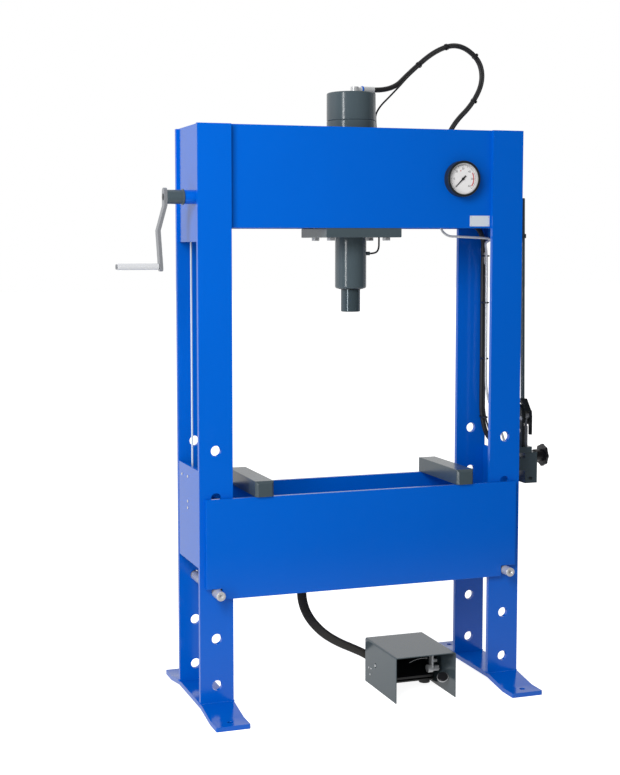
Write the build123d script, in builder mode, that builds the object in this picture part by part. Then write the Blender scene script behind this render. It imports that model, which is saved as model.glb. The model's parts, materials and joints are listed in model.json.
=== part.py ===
from build123d import *
import math
import os

os.makedirs("parts", exist_ok=True)

# Two-column hydraulic shop press. Millimetres, +X right, +Y to the rear, +Z up.
# The origin is on the floor under the ram, at the middle of the four foot bolts.

# ---------------------------------------------------------------- driving sizes
running_gap = 0.3            # between faces that slide on or rest near each other

# columns
leg_length = 1821.0
leg_width = 110.0
leg_thick = 15.0
frame_width = 1120.0
frame_depth = 264.0
hole_pitch = 150.0
hole_count = 6
lowest_hole_up = 56.0        # first hole above the foot of the leg
leg_hole_dia = 33.0
bed_rest_hole = 2            # hole that carries the bed, counted from 0 at the bottom

# feet
foot_bar_thick = 15.0
foot_lift = 17.0             # underside of the raised middle above the floor
foot_length = 616.0
foot_flat_half = 138.0       # half length of the raised middle
foot_toe_start = 238.0       # where the joggle reaches the floor
foot_hole_dia = 18.0
foot_hole_inset = 36.0       # hole centre from the toe's end
toe_corner_radius = 4.0

# head
head_height = 320.0
head_plate_thick = 12.0
end_plate_thick = 6.0
end_plate_recess = 7.0       # end plate behind the outer edge of the legs
end_plate_drop = 43.0        # end plate below the head plates
rail_width = 24.0
rail_thick = 15.0
rail_length = 880.0
rail_up = 12.0               # rail above the lower edge of the head plates
tie_tube_dia = 30.0
head_tie_x = 515.0
head_tie_up = 250.0

# column braces
brace_bottom = 465.0
brace_height = 310.0
brace_thick = 6.0
brace_flange = 8.0
brace_notch = 45.0

# bed
bed_end_inset = 18.0         # bed plates shorter than the frame at each end
bed_height = 320.0
bed_plate_thick = 15.0
bed_sill_height = 35.0       # lower strip of a bed plate, stopping short of the pins
bed_cross_thick = 12.0
bed_cross_height = 220.0
bed_cross_x = 433.0          # middle of the cross plates
bed_cross_up = 60.0
bed_tie_x = 225.0
bed_tie_dia = 42.0
bed_tie_up = 90.0

# pins
pin_dia = 30.0
pin_overhang_front = 52.0
pin_overhang_rear = 24.0
pin_cone_dia = 16.0

# press blocks
block_width = 62.0
block_height = 50.0
block_length = 310.0
block_chamfer = 8.0
block_x = 350.0

# cylinder and ram
barrel_dia = 160.0
barrel_bore = 124.0
barrel_top_z = 1972.0
cap_height = 91.0
cap_gap = 1.5
flange_width = 260.0
flange_thick = 29.7
nose_dia = 103.0
nose_bottom_z = 1336.0
nose_round = 8.0
ram_dia = 64.0
ram_bottom_z = 1260.0
ram_stroke = 200.0
piston_height = 50.0
wiper_height = 8.0
clamp_bolt_x = 97.0
clamp_bolt_y = 70.0
clamp_bolt_dia = 16.0
clamp_block_width = 50.0
clamp_block_thick = 18.0

# gauge
gauge_x = 339.0
gauge_up = 160.0             # above the lower edge of the head plates
gauge_dia = 117.0
gauge_depth = 28.0
gauge_rim = 7.5
gauge_dial_dia = 97.0
gauge_can_dia = 80.0
gauge_can_depth = 30.0

# winch
crank_y = -88.0
crank_up = 95.0              # above the lower edge of the head plates
crank_shaft_dia = 24.0
bearing_dia = 44.0
bearing_end_x = -592.0
hub_end_x = -647.0
crank_radius = 214.0
crank_bar_width = 30.0
crank_bar_thick = 10.0
crank_joggle = 22.0
grip_dia = 20.0
grip_pin_dia = 8.0
grip_length = 132.0
drum_x = -507.5
drum_up = 40.0               # above the lower edge of the head plates
drum_core_dia = 50.0
drum_flange_dia = 72.0
drum_front_y = -52.0
drum_rear_y = 64.0
drum_flange_thick = 5.0
drum_shaft_dia = 20.0
rope_dia = 6.0
rope_y = 35.0
rope_turns = 7
bevel_cone_dia = 34.0

# bed pulleys
pulley_dia = 70.0            # over the flanges
pulley_thick = 16.0
pulley_up = 225.0            # pulley centre above the bed's lower edge
pulley_pin_dia = 14.0
pulley_ear_thick = 8.0

# pump
pump_y = -10.0
pump_block_x = (637.0, 685.0)
pump_block_depth = 50.0
pump_block_z = (656.0, 763.0)
pump_spacer_z = (701.0, 744.0)
pump_flange_x = (612.0, 664.0)
pump_flange_thick = 20.0
pump_flange_depth = 54.0
piston_dia = 14.0
piston_neck_dia = 10.0
piston_neck_height = 36.0
piston_bore_depth = 88.0
piston_engaged = 35.0
eye_dia = 20.0
pivot_y = 25.0
pivot_z = 872.0
lever_pin_dia = 10.0
lever_swing = 50.0           # degrees, upright to pulled forward
lever_slot_gap = 1.0
fork_x = (638.4, 668.0)      # outer faces of the lever's fork
fork_left_thick = 4.2
fork_right_thick = 8.0
fork_depth = 24.0
fork_neck_z = 905.0
lever_rod_dia = 14.0
lever_rod_foot = (637.5, 949.0)
lever_rod_top = (628.5, 1637.0)
pump_bracket_x = (628.0, 637.0)
pump_bracket_y = (-25.0, 75.0)
pump_bracket_top_z = 932.0
pump_bracket_round = 44.0
knob_z = 748.0
knob_disc_dia = 78.0
knob_disc_thick = 9.0
knob_lobes = 8
knob_neck_dia = 42.0
knob_neck_length = 28.0

# pedal
pedal_x = (65.0, 279.0)
pedal_y = (-238.0, 18.0)
pedal_height = 150.0
pedal_sheet = 3.0
pedal_base_y = (-76.0, 14.0)
pedal_base_up = 12.0
pedal_foot_dia = 38.0
treadle_width = 176.0
treadle_front_y = -128.0
treadle_thick = 8.0
treadle_front_z = 44.0
treadle_pivot = (-20.0, 70.0)     # y and z of the treadle's pin
treadle_pin_dia = 10.0
treadle_drop = 9.0                # degrees

# hoses and pipes
hose_dia = 17.0
vent_dia = 6.0
pipe_dia = 8.0
pedal_hose_dia = 22.0

# ---------------------------------------------------------------- derived places
leg_foot_z = foot_lift + foot_bar_thick
leg_top_z = leg_foot_z + leg_length
leg_x = frame_width / 2 - leg_width / 2
leg_y = frame_depth / 2 - leg_thick / 2
inner_y = frame_depth / 2 - leg_thick
head_bottom_z = leg_top_z - head_height
end_inner_x = frame_width / 2 - end_plate_recess - end_plate_thick
end_bottom_z = head_bottom_z - end_plate_drop
head_inner_y = inner_y - head_plate_thick
pin_z = leg_foot_z + lowest_hole_up + bed_rest_hole * hole_pitch
pin_drop = (leg_hole_dia - pin_dia) / 2 - running_gap / 2
pin_axis_z = pin_z - pin_drop
bed_rest_z = pin_axis_z + pin_dia / 2 + running_gap
bed_bottom_z = bed_rest_z - bed_sill_height
bed_top_z = bed_bottom_z + bed_height
bed_length = frame_width - 2 * bed_end_inset
bed_inner_y = frame_depth / 2 + running_gap
bed_outer_y = bed_inner_y + bed_plate_thick
flange_top_z = head_bottom_z - running_gap
flange_bottom_z = flange_top_z - flange_thick
rail_z = head_bottom_z + rail_up
gauge_z = head_bottom_z + gauge_up
crank_z = head_bottom_z + crank_up
drum_z = head_bottom_z + drum_up
wrap_radius = drum_core_dia / 2 + rope_dia / 2 - 0.2
pulley_z = bed_bottom_z + pulley_up
pulley_x = -drum_x
rope_drop_x = drum_x - wrap_radius
pulley_groove_radius = wrap_radius
rope_low_z = pulley_z - pulley_groove_radius
anchor_x = -rope_drop_x
anchor_z = end_bottom_z + 60
anchor_radius = 9.0
ear_gap = 1.0


def route(points):
    """Path of straight runs joined by arcs as large as the runs allow."""
    corners = [Vector(*p) for p in points]
    radii = []
    for before, here, after in zip(corners, corners[1:], corners[2:]):
        turn = (here - before).get_angle(after - here)
        short = min((here - before).length, (after - here).length)
        radii.append(0.45 * short / math.tan(math.radians(turn / 2)))
    return FilletPolyline(*corners, radius=radii), radii


# ---------------------------------------------------------------- columns
hole_heights = [lowest_hole_up + i * hole_pitch for i in range(hole_count)]
for side, sx in (("left", -1), ("right", 1)):
    with BuildPart() as legs:
        for sy in (-1, 1):
            with BuildSketch(Plane.XZ.offset(-sy * leg_y - leg_thick / 2)):
                with Locations((sx * leg_x, leg_foot_z)):
                    Rectangle(leg_width, leg_length, align=(Align.CENTER, Align.MIN))
                with Locations(*[(sx * leg_x, leg_foot_z + h) for h in hole_heights]):
                    Circle(leg_hole_dia / 2, mode=Mode.SUBTRACT)
            extrude(amount=leg_thick)
    legs.part.label = f"legs_{side}"
    export_step(legs.part, f"parts/legs_{side}.step")

# flat bar feet, joggled down to toes at both ends
with BuildPart() as feet:
    for sx in (-1, 1):
        with BuildSketch(Plane.YZ.offset(sx * leg_x - leg_width / 2)):
            with BuildLine():
                Polyline(
                    (-foot_length / 2, 0),
                    (-foot_toe_start, 0),
                    (-foot_flat_half + foot_lift / 2, foot_lift),
                    (foot_flat_half - foot_lift / 2, foot_lift),
                    (foot_toe_start, 0),
                    (foot_length / 2, 0),
                    (foot_length / 2, foot_bar_thick),
                    (foot_toe_start, foot_bar_thick),
                    (foot_flat_half, leg_foot_z),
                    (-foot_flat_half, leg_foot_z),
                    (-foot_toe_start, foot_bar_thick),
                    (-foot_length / 2, foot_bar_thick),
                    close=True,
                )
            make_face()
        extrude(amount=leg_width)
    toe_ends = feet.edges().filter_by(Axis.Z).group_by(Axis.Y)
    fillet(toe_ends[0] + toe_ends[-1], toe_corner_radius)
    with BuildSketch():
        with GridLocations(2 * leg_x, foot_length - 2 * foot_hole_inset, 2, 2):
            Circle(foot_hole_dia / 2)
    extrude(amount=foot_bar_thick, mode=Mode.SUBTRACT)
feet.part.label = "feet"
export_step(feet.part, "parts/feet.step")

# braces across each column, with an inward flange along the top
bracket_face_x = frame_width / 2 - 1
with BuildPart() as braces:
    for sx in (-1, 1):
        with BuildSketch(Plane.XY.offset(brace_bottom)):
            with Locations((sx * (bracket_face_x - brace_thick / 2), 0)):
                Rectangle(brace_thick, 2 * inner_y)
        extrude(amount=brace_height)
        with BuildSketch(Plane.XY.offset(brace_bottom + brace_height - brace_thick)):
            with Locations((sx * (bracket_face_x - (brace_thick + brace_flange) / 2), -brace_notch / 2)):
                Rectangle(brace_thick + brace_flange, 2 * inner_y - brace_notch)
        extrude(amount=brace_thick)
braces.part.label = "column_braces"
export_step(braces.part, "parts/column_braces.step")

# ---------------------------------------------------------------- head
with BuildPart() as head_front:
    with BuildSketch(Plane.XZ.offset(head_inner_y)):
        with Locations((0, head_bottom_z)):
            Rectangle(2 * end_inner_x, head_height, align=(Align.CENTER, Align.MIN))
        with Locations((gauge_x, gauge_z)):
            Circle(gauge_can_dia / 2 + 1, mode=Mode.SUBTRACT)
    extrude(amount=head_plate_thick)
head_front.part.label = "head_plate_front"
export_step(head_front.part, "parts/head_plate_front.step")

with BuildPart() as head_rear:
    with BuildSketch(Plane.XZ.offset(-inner_y)):
        with Locations((0, head_bottom_z)):
            Rectangle(2 * end_inner_x, head_height, align=(Align.CENTER, Align.MIN))
        with Locations((drum_x, drum_z)):
            Circle(drum_shaft_dia / 2 + running_gap, mode=Mode.SUBTRACT)
    extrude(amount=head_plate_thick)
head_rear.part.label = "head_plate_rear"
export_step(head_rear.part, "parts/head_plate_rear.step")

with BuildPart() as head_ends:
    for sx in (-1, 1):
        with BuildSketch(Plane.YZ.offset(sx * (end_inner_x + end_plate_thick / 2) - end_plate_thick / 2)):
            with Locations((0, end_bottom_z)):
                Rectangle(2 * inner_y, leg_top_z - end_bottom_z, align=(Align.CENTER, Align.MIN))
            if sx < 0:
                with Locations((crank_y, crank_z)):
                    Circle(bearing_dia / 2, mode=Mode.SUBTRACT)
        extrude(amount=end_plate_thick)
    # eye on the right end plate that holds the end of the lifting rope
    with BuildSketch(Plane.XY.offset(anchor_z)):
        with Locations((anchor_x, rope_y)):
            Circle(anchor_radius)
    extrude(amount=26)
    with BuildSketch(Plane.XY.offset(anchor_z + 26)):
        with Locations(((anchor_x - anchor_radius + end_inner_x) / 2, rope_y)):
            Rectangle(end_inner_x - anchor_x + anchor_radius, 30)
    extrude(amount=8)
head_ends.part.label = "head_ends"
export_step(head_ends.part, "parts/head_ends.step")

with BuildPart() as head_rails:
    for sy in (-1, 1):
        with BuildSketch(Plane.XY.offset(rail_z)):
            with Locations((0, sy * (head_inner_y - rail_width / 2))):
                Rectangle(rail_length, rail_width)
        extrude(amount=rail_thick)
    with BuildSketch(Plane.XZ.offset(-head_inner_y)):
        for sx in (-1, 1):
            with Locations((sx * head_tie_x, head_bottom_z + head_tie_up)):
                Circle(tie_tube_dia / 2)
    extrude(amount=2 * head_inner_y)
head_rails.part.label = "head_rails"
export_step(head_rails.part, "parts/head_rails.step")

# ---------------------------------------------------------------- cylinder
with BuildPart() as flange:
    with BuildSketch(Plane.XY.offset(flange_bottom_z)):
        Rectangle(flange_width, 2 * inner_y)
        Circle(nose_dia / 2, mode=Mode.SUBTRACT)
        with GridLocations(2 * clamp_bolt_x, 2 * clamp_bolt_y, 2, 2):
            Circle(clamp_bolt_dia / 2 + running_gap, mode=Mode.SUBTRACT)
        with Locations((clamp_bolt_x + 8, 10)):
            Circle(vent_dia / 2 + 2, mode=Mode.SUBTRACT)
    extrude(amount=flange_thick)
    chamfer(flange.faces().sort_by(Axis.Z)[0].outer_wire().edges(), 1.5)
flange.part.label = "cylinder_flange"
export_step(flange.part, "parts/cylinder_flange.step")

chamber_floor_z = flange_top_z + 27
with BuildPart() as barrel:
    with BuildSketch(Plane.XZ):
        with BuildLine():
            Polyline(
                (nose_dia / 2, flange_top_z),
                (barrel_dia / 2, flange_top_z),
                (barrel_dia / 2, barrel_top_z - cap_height),
                (barrel_bore / 2, barrel_top_z - cap_height),
                (barrel_bore / 2, chamber_floor_z),
                (nose_dia / 2, chamber_floor_z),
                close=True,
            )
        make_face()
    revolve(axis=Axis.Z)
    chamfer(barrel.edges().filter_by(GeomType.CIRCLE).group_by(Axis.Z)[-1].sort_by(SortBy.RADIUS)[-1], 1.5)
barrel.part.label = "cylinder_barrel"
export_step(barrel.part, "parts/cylinder_barrel.step")

with BuildPart() as cap:
    with BuildSketch(Plane.XY.offset(barrel_top_z - cap_height)):
        Circle(barrel_dia / 2)
    extrude(amount=cap_height)
    cap_rims = cap.edges().filter_by(GeomType.CIRCLE).sort_by(Axis.Z)
    fillet(cap_rims[-1], 5)
    chamfer(cap_rims[0], cap_gap)
cap.part.label = "cylinder_cap"
export_step(cap.part, "parts/cylinder_cap.step")

ram_gap = 0.4
vent_port_x = 62.0
vent_port_y = -12.0
vent_port_z = 1451.0
with BuildPart() as nose:
    with BuildSketch(Plane.XZ):
        with BuildLine():
            Polyline(
                (ram_dia / 2 + ram_gap, nose_bottom_z + wiper_height),
                (ram_dia / 2 + 8, nose_bottom_z + wiper_height),
                (ram_dia / 2 + 8, nose_bottom_z),
                (nose_dia / 2, nose_bottom_z),
                (nose_dia / 2, chamber_floor_z),
                (ram_dia / 2 + ram_gap, chamber_floor_z),
                close=True,
            )
        make_face()
    revolve(axis=Axis.Z)
    with BuildSketch(Plane.YZ.offset(ram_dia / 2 + 8)):
        with Locations((vent_port_y, vent_port_z)):
            RegularPolygon(7, 6)
    extrude(amount=vent_port_x - ram_dia / 2 - 8)
    lower_rim = nose.edges().filter_by(GeomType.CIRCLE).group_by(Axis.Z)[0].sort_by(SortBy.RADIUS)[-1]
    fillet(lower_rim, nose_round)
nose.part.label = "cylinder_nose"
export_step(nose.part, "parts/cylinder_nose.step")

with BuildPart() as wiper:
    with BuildSketch(Plane.XY.offset(nose_bottom_z - 2)):
        Circle(ram_dia / 2 + 8)
        Circle(ram_dia / 2 + ram_gap, mode=Mode.SUBTRACT)
    extrude(amount=wiper_height + 2)
wiper.part.label = "wiper_seal"
export_step(wiper.part, "parts/wiper_seal.step")

ram_top_z = chamber_floor_z + ram_stroke + running_gap
with BuildPart() as ram:
    with BuildSketch(Plane.XY.offset(ram_bottom_z)):
        Circle(ram_dia / 2)
    extrude(amount=ram_top_z - ram_bottom_z)
    chamfer(ram.edges().filter_by(GeomType.CIRCLE).sort_by(Axis.Z)[0], 2)
    with BuildSketch(Plane.XY.offset(ram_top_z)):
        Circle(barrel_bore / 2 - ram_gap)
    extrude(amount=piston_height)
    with BuildSketch(Plane.XY.offset(ram_top_z + piston_height * 0.4)):
        Circle(barrel_bore / 2 + 1)
        Circle(barrel_bore / 2 - 4, mode=Mode.SUBTRACT)
    extrude(amount=piston_height * 0.2, mode=Mode.SUBTRACT)
ram.part.label = "ram"
export_step(ram.part, "parts/ram.step")

clamp_bottom_z = rail_z + rail_thick + running_gap
bolt_head_height = 10.0
with BuildPart() as clamps:
    with BuildSketch(Plane.XY.offset(flange_bottom_z - bolt_head_height)):
        with GridLocations(2 * clamp_bolt_x, 2 * clamp_bolt_y, 2, 2):
            RegularPolygon(12 / math.cos(math.pi / 6), 6)
    extrude(amount=bolt_head_height)
    with BuildSketch(Plane.XY.offset(flange_bottom_z)):
        with GridLocations(2 * clamp_bolt_x, 2 * clamp_bolt_y, 2, 2):
            Circle(clamp_bolt_dia / 2)
    extrude(amount=clamp_bottom_z + clamp_block_thick - flange_bottom_z)
    with BuildSketch(Plane.XY.offset(clamp_bottom_z)):
        with GridLocations(2 * clamp_bolt_x, 2 * clamp_bolt_y, 2, 2):
            Circle(clamp_bolt_dia / 2 + 8)
        for sx in (-1, 1):
            for sy in (-1, 1):
                with Locations((sx * clamp_bolt_x, sy * (clamp_bolt_y + head_inner_y - 1) / 2)):
                    Rectangle(clamp_block_width, head_inner_y - 1 - clamp_bolt_y)
    extrude(amount=clamp_block_thick)
clamps.part.label = "carriage_clamps"
export_step(clamps.part, "parts/carriage_clamps.step")

# banjo fitting and ferrule on the cap
fitting_x = 12.0
fitting_z = barrel_top_z + 13
ferrule_end_x = barrel_dia / 2
with BuildPart() as banjo:
    with BuildSketch(Plane.XY.offset(barrel_top_z)):
        with Locations((fitting_x, 0)):
            RegularPolygon(15, 6)
    extrude(amount=5)
    with BuildSketch(Plane.XY.offset(barrel_top_z + 5)):
        with Locations((fitting_x, 0)):
            Circle(13)
    extrude(amount=16)
    with BuildSketch(Plane.YZ.offset(fitting_x)):
        with Locations((0, fitting_z)):
            Circle(7)
    extrude(amount=22)
    with BuildSketch(Plane.YZ.offset(fitting_x + 22)):
        with Locations((0, fitting_z)):
            Circle(10)
    extrude(amount=ferrule_end_x - fitting_x - 22)
banjo.part.label = "hose_fitting"
export_step(banjo.part, "parts/hose_fitting.step")

# ---------------------------------------------------------------- pressure gauge
gauge_back_y = -inner_y
gauge_front_y = gauge_back_y - gauge_depth
with BuildPart() as gauge_case:
    with BuildSketch(Plane.XZ.offset(-gauge_back_y)):
        with Locations((gauge_x, gauge_z)):
            Circle(gauge_dia / 2)
    extrude(amount=gauge_depth)
    with BuildSketch(Plane.XZ.offset(-gauge_front_y)):
        with Locations((gauge_x, gauge_z)):
            Circle(gauge_dia / 2 - gauge_rim)
    extrude(amount=-12, mode=Mode.SUBTRACT)
    with BuildSketch(Plane.XZ.offset(-gauge_back_y - gauge_can_depth)):
        with Locations((gauge_x, gauge_z)):
            Circle(gauge_can_dia / 2)
    extrude(amount=gauge_can_depth)
    fillet(gauge_case.edges().filter_by(GeomType.CIRCLE).group_by(Axis.Y)[0].sort_by(SortBy.RADIUS)[-1], 1.8)
gauge_case.part.label = "gauge_case"
export_step(gauge_case.part, "parts/gauge_case.step")

dial_y = gauge_front_y + 12
with BuildPart() as gauge_bezel:
    with BuildSketch(Plane.XZ.offset(-dial_y)):
        with Locations((gauge_x, gauge_z)):
            Circle(gauge_dia / 2 - gauge_rim)
            Circle(gauge_dial_dia / 2, mode=Mode.SUBTRACT)
    extrude(amount=11)
gauge_bezel.part.label = "gauge_bezel"
export_step(gauge_bezel.part, "parts/gauge_bezel.step")

with BuildPart() as gauge_dial:
    with BuildSketch(Plane.XZ.offset(-dial_y)):
        with Locations((gauge_x, gauge_z)):
            Circle(gauge_dial_dia / 2)
    extrude(amount=1.5)
gauge_dial.part.label = "gauge_dial"
export_step(gauge_dial.part, "parts/gauge_dial.step")

needle_angle = 225.0          # pointing down to the left at zero
with BuildPart() as gauge_needle:
    needle_plane = Plane(
        origin=(gauge_x, dial_y - 2, gauge_z),
        x_dir=(math.cos(math.radians(needle_angle)), 0, math.sin(math.radians(needle_angle))),
        z_dir=(0, -1, 0),
    )
    with BuildSketch(needle_plane):
        with BuildLine():
            Polyline((-14, -2.4), (0, -2.4), (38, -0.6), (38, 0.6), (0, 2.4), (-14, 2.4), close=True)
        make_face()
        Circle(4.5)
    extrude(amount=1.5)
gauge_needle.part.label = "gauge_needle"
export_step(gauge_needle.part, "parts/gauge_needle.step")

with BuildPart() as gauge_lens:
    with BuildSketch(Plane.XZ.offset(-gauge_front_y - 4.5)):
        with Locations((gauge_x, gauge_z)):
            Circle(gauge_dial_dia / 2)
    extrude(amount=3)
gauge_lens.part.label = "gauge_lens"
export_step(gauge_lens.part, "parts/gauge_lens.step")

# ---------------------------------------------------------------- winch
with BuildPart() as crank_bearing:
    with BuildSketch(Plane.YZ.offset(bearing_end_x)):
        with Locations((crank_y, crank_z)):
            Circle(bearing_dia / 2)
            Circle(crank_shaft_dia / 2 + running_gap, mode=Mode.SUBTRACT)
    extrude(amount=-end_inner_x - bearing_end_x)
crank_bearing.part.label = "crank_bearing"
export_step(crank_bearing.part, "parts/crank_bearing.step")

gearbox_x = (-end_inner_x + 2, drum_x + 36)
gearbox_y = (-head_inner_y, drum_front_y - 3)
gearbox_z = (drum_z - 30, crank_z + 28)
with BuildPart() as gearbox:
    with BuildSketch(Plane.XZ.offset(-gearbox_y[1])):
        with Locations(((gearbox_x[0] + gearbox_x[1]) / 2, (gearbox_z[0] + gearbox_z[1]) / 2)):
            RectangleRounded(gearbox_x[1] - gearbox_x[0], gearbox_z[1] - gearbox_z[0], 14)
        with Locations((drum_x, drum_z)):
            Circle(drum_shaft_dia / 2 + running_gap, mode=Mode.SUBTRACT)
    extrude(amount=gearbox_y[1] - gearbox_y[0])
    with BuildSketch(Plane.YZ.offset(gearbox_x[0])):
        with Locations((crank_y, crank_z)):
            Circle(crank_shaft_dia / 2 + running_gap)
    extrude(amount=gearbox_x[1] - gearbox_x[0], mode=Mode.SUBTRACT)
gearbox.part.label = "winch_gearbox"
export_step(gearbox.part, "parts/winch_gearbox.step")

with BuildPart() as drum:
    with BuildSketch(Plane.XZ.offset(-head_inner_y - head_plate_thick)):
        with Locations((drum_x, drum_z)):
            Circle(drum_shaft_dia / 2)
    extrude(amount=head_inner_y + head_plate_thick - gearbox_y[0] - 2)
    with BuildSketch(Plane.XZ.offset(-drum_rear_y)):
        with Locations((drum_x, drum_z)):
            Circle(drum_core_dia / 2)
    extrude(amount=drum_rear_y - drum_front_y)
    for y in (drum_rear_y, drum_front_y + drum_flange_thick):
        with BuildSketch(Plane.XZ.offset(-y)):
            with Locations((drum_x, drum_z)):
                Circle(drum_flange_dia / 2)
        extrude(amount=drum_flange_thick)
    with BuildSketch(Plane.XY.offset(drum_z)):
        for i in range(rope_turns):
            with Locations((drum_x - wrap_radius, rope_y - i * (rope_dia + 0.4))):
                Circle(rope_dia / 2)
    revolve(axis=Axis((drum_x, 0, drum_z), (0, 1, 0)))
drum.part.label = "winch_drum"
export_step(drum.part, "parts/winch_drum.step")

hub_gap = 1.0
with BuildPart() as crank_shaft:
    with BuildSketch(Plane.YZ.offset(hub_end_x)):
        with Locations((crank_y, crank_z)):
            Circle(crank_shaft_dia / 2)
    extrude(amount=gearbox_x[1] - hub_end_x - 2)
    with BuildSketch(Plane.YZ.offset(hub_end_x)):
        with Locations((crank_y, crank_z)):
            Circle(bearing_dia / 2)
            Circle(crank_shaft_dia / 2, mode=Mode.SUBTRACT)
    extrude(amount=bearing_end_x - hub_gap - hub_end_x)
    with BuildSketch(Plane.YZ.offset(bearing_end_x - 5)):
        with Locations((crank_y, crank_z)):
            Circle(bearing_dia / 2 + 3)
            Circle(bearing_dia / 2, mode=Mode.SUBTRACT)
    extrude(amount=5 - hub_gap)
    with BuildSketch(Plane.YZ.offset(hub_end_x - crank_bar_thick)):
        with Locations((crank_y, crank_z)):
            SlotOverall(crank_shaft_dia - 2, crank_shaft_dia - 8, rotation=90)
    extrude(amount=crank_bar_thick)
crank_shaft.part.label = "crank_shaft"
export_step(crank_shaft.part, "parts/crank_shaft.step")

arm_top_z = crank_z + 28
grip_z = crank_z - crank_radius
arm_foot_z = grip_z - 15
arm_x = hub_end_x - crank_bar_thick / 2
arm_foot_x = arm_x - crank_joggle + 8
grip_start_x = arm_foot_x - crank_bar_thick / 2 - 0.5
arm_line = [
    (arm_x, arm_top_z),
    (arm_x, crank_z - 26),
    (arm_x - crank_joggle, crank_z - 104),
    (arm_foot_x, arm_foot_z),
]
with BuildPart() as crank_arm:
    with BuildSketch(Plane.XZ.offset(-crank_y - crank_bar_width / 2)):
        with BuildLine():
            near = [(x + crank_bar_thick / 2, z) for x, z in arm_line]
            far = [(x - crank_bar_thick / 2, z) for x, z in reversed(arm_line)]
            Polyline(*near, *far, close=True)
        make_face()
    extrude(amount=crank_bar_width)
    fillet(crank_arm.edges().filter_by(Axis.X).group_by(Axis.Z)[-1], crank_bar_width / 2 - 1)
    fillet(crank_arm.edges().filter_by(Axis.X).group_by(Axis.Z)[0], crank_bar_width / 2 - 2)
    with BuildSketch(Plane.YZ.offset(arm_x - crank_bar_thick / 2)):
        with Locations((crank_y, crank_z)):
            SlotOverall(crank_shaft_dia - 2, crank_shaft_dia - 8, rotation=90)
    extrude(amount=crank_bar_thick, mode=Mode.SUBTRACT)
    with BuildSketch(Plane.YZ.offset(grip_start_x - grip_length)):
        with Locations((crank_y, grip_z)):
            Circle(grip_pin_dia / 2)
    extrude(amount=grip_length + crank_bar_thick / 2)
    with BuildSketch(Plane.YZ.offset(grip_start_x - grip_length - 4)):
        with Locations((crank_y, grip_z)):
            Circle(grip_pin_dia)
    extrude(amount=4)
crank_arm.part.label = "crank_arm"
export_step(crank_arm.part, "parts/crank_arm.step")

with BuildPart() as grip:
    with BuildSketch(Plane.YZ.offset(grip_start_x - grip_length + 0.4)):
        with Locations((crank_y, grip_z)):
            Circle(grip_dia / 2)
            Circle(grip_pin_dia / 2 + running_gap, mode=Mode.SUBTRACT)
    extrude(amount=grip_length - 1.8)
    fillet(grip.edges().filter_by(GeomType.CIRCLE).sort_by(SortBy.RADIUS)[-2:], 1.5)
grip.part.label = "crank_grip"
export_step(grip.part, "parts/crank_grip.step")

# ---------------------------------------------------------------- bed
for row, sy in (("front", -1), ("rear", 1)):
    with BuildPart() as bed_plate:
        with BuildSketch(Plane.XZ.offset(-sy * (bed_inner_y + bed_plate_thick / 2) - bed_plate_thick / 2)):
            with Locations((0, bed_rest_z)):
                Rectangle(bed_length, bed_top_z - bed_rest_z, align=(Align.CENTER, Align.MIN))
        extrude(amount=bed_plate_thick)
    bed_plate.part.label = f"bed_plate_{row}"
    export_step(bed_plate.part, f"parts/bed_plate_{row}.step")

# strips that run on below the bed plates between the pins
sill_end_x = leg_x - pin_dia / 2 - running_gap
with BuildPart() as bed_sills:
    for sy in (-1, 1):
        with BuildSketch(Plane.XZ.offset(-sy * (bed_inner_y + bed_plate_thick / 2) - bed_plate_thick / 2)):
            with Locations((0, bed_bottom_z)):
                Rectangle(2 * sill_end_x, bed_sill_height, align=(Align.CENTER, Align.MIN))
        extrude(amount=bed_plate_thick)
bed_sills.part.label = "bed_sills"
export_step(bed_sills.part, "parts/bed_sills.step")

ear_span = pulley_thick / 2 + ear_gap + pulley_ear_thick / 2
pulley_pin_length = pulley_thick + 2 * ear_gap + 2 * pulley_ear_thick
with BuildPart() as bed_crosses:
    for sx in (-1, 1):
        with BuildSketch(Plane.YZ.offset(sx * bed_cross_x - bed_cross_thick / 2)):
            with Locations((0, bed_bottom_z + bed_cross_up)):
                Rectangle(2 * bed_inner_y, bed_cross_height, align=(Align.CENTER, Align.MIN))
            with Locations((rope_y, rope_low_z)):
                Circle(12, mode=Mode.SUBTRACT)
        extrude(amount=bed_cross_thick)
        ear_root_x = bed_cross_x + bed_cross_thick / 2
        for ear_y in (rope_y - ear_span, rope_y + ear_span):
            with BuildSketch(Plane.XZ.offset(-ear_y - pulley_ear_thick / 2)):
                with Locations((sx * (ear_root_x + pulley_x) / 2, pulley_z)):
                    Rectangle(pulley_x - ear_root_x, 44)
                with Locations((sx * pulley_x, pulley_z)):
                    Circle(22)
            extrude(amount=pulley_ear_thick)
        with BuildSketch(Plane.XZ.offset(-rope_y - pulley_pin_length / 2)):
            with Locations((sx * pulley_x, pulley_z)):
                Circle(pulley_pin_dia / 2)
        extrude(amount=pulley_pin_length)
bed_crosses.part.label = "bed_crosses"
export_step(bed_crosses.part, "parts/bed_crosses.step")

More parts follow.
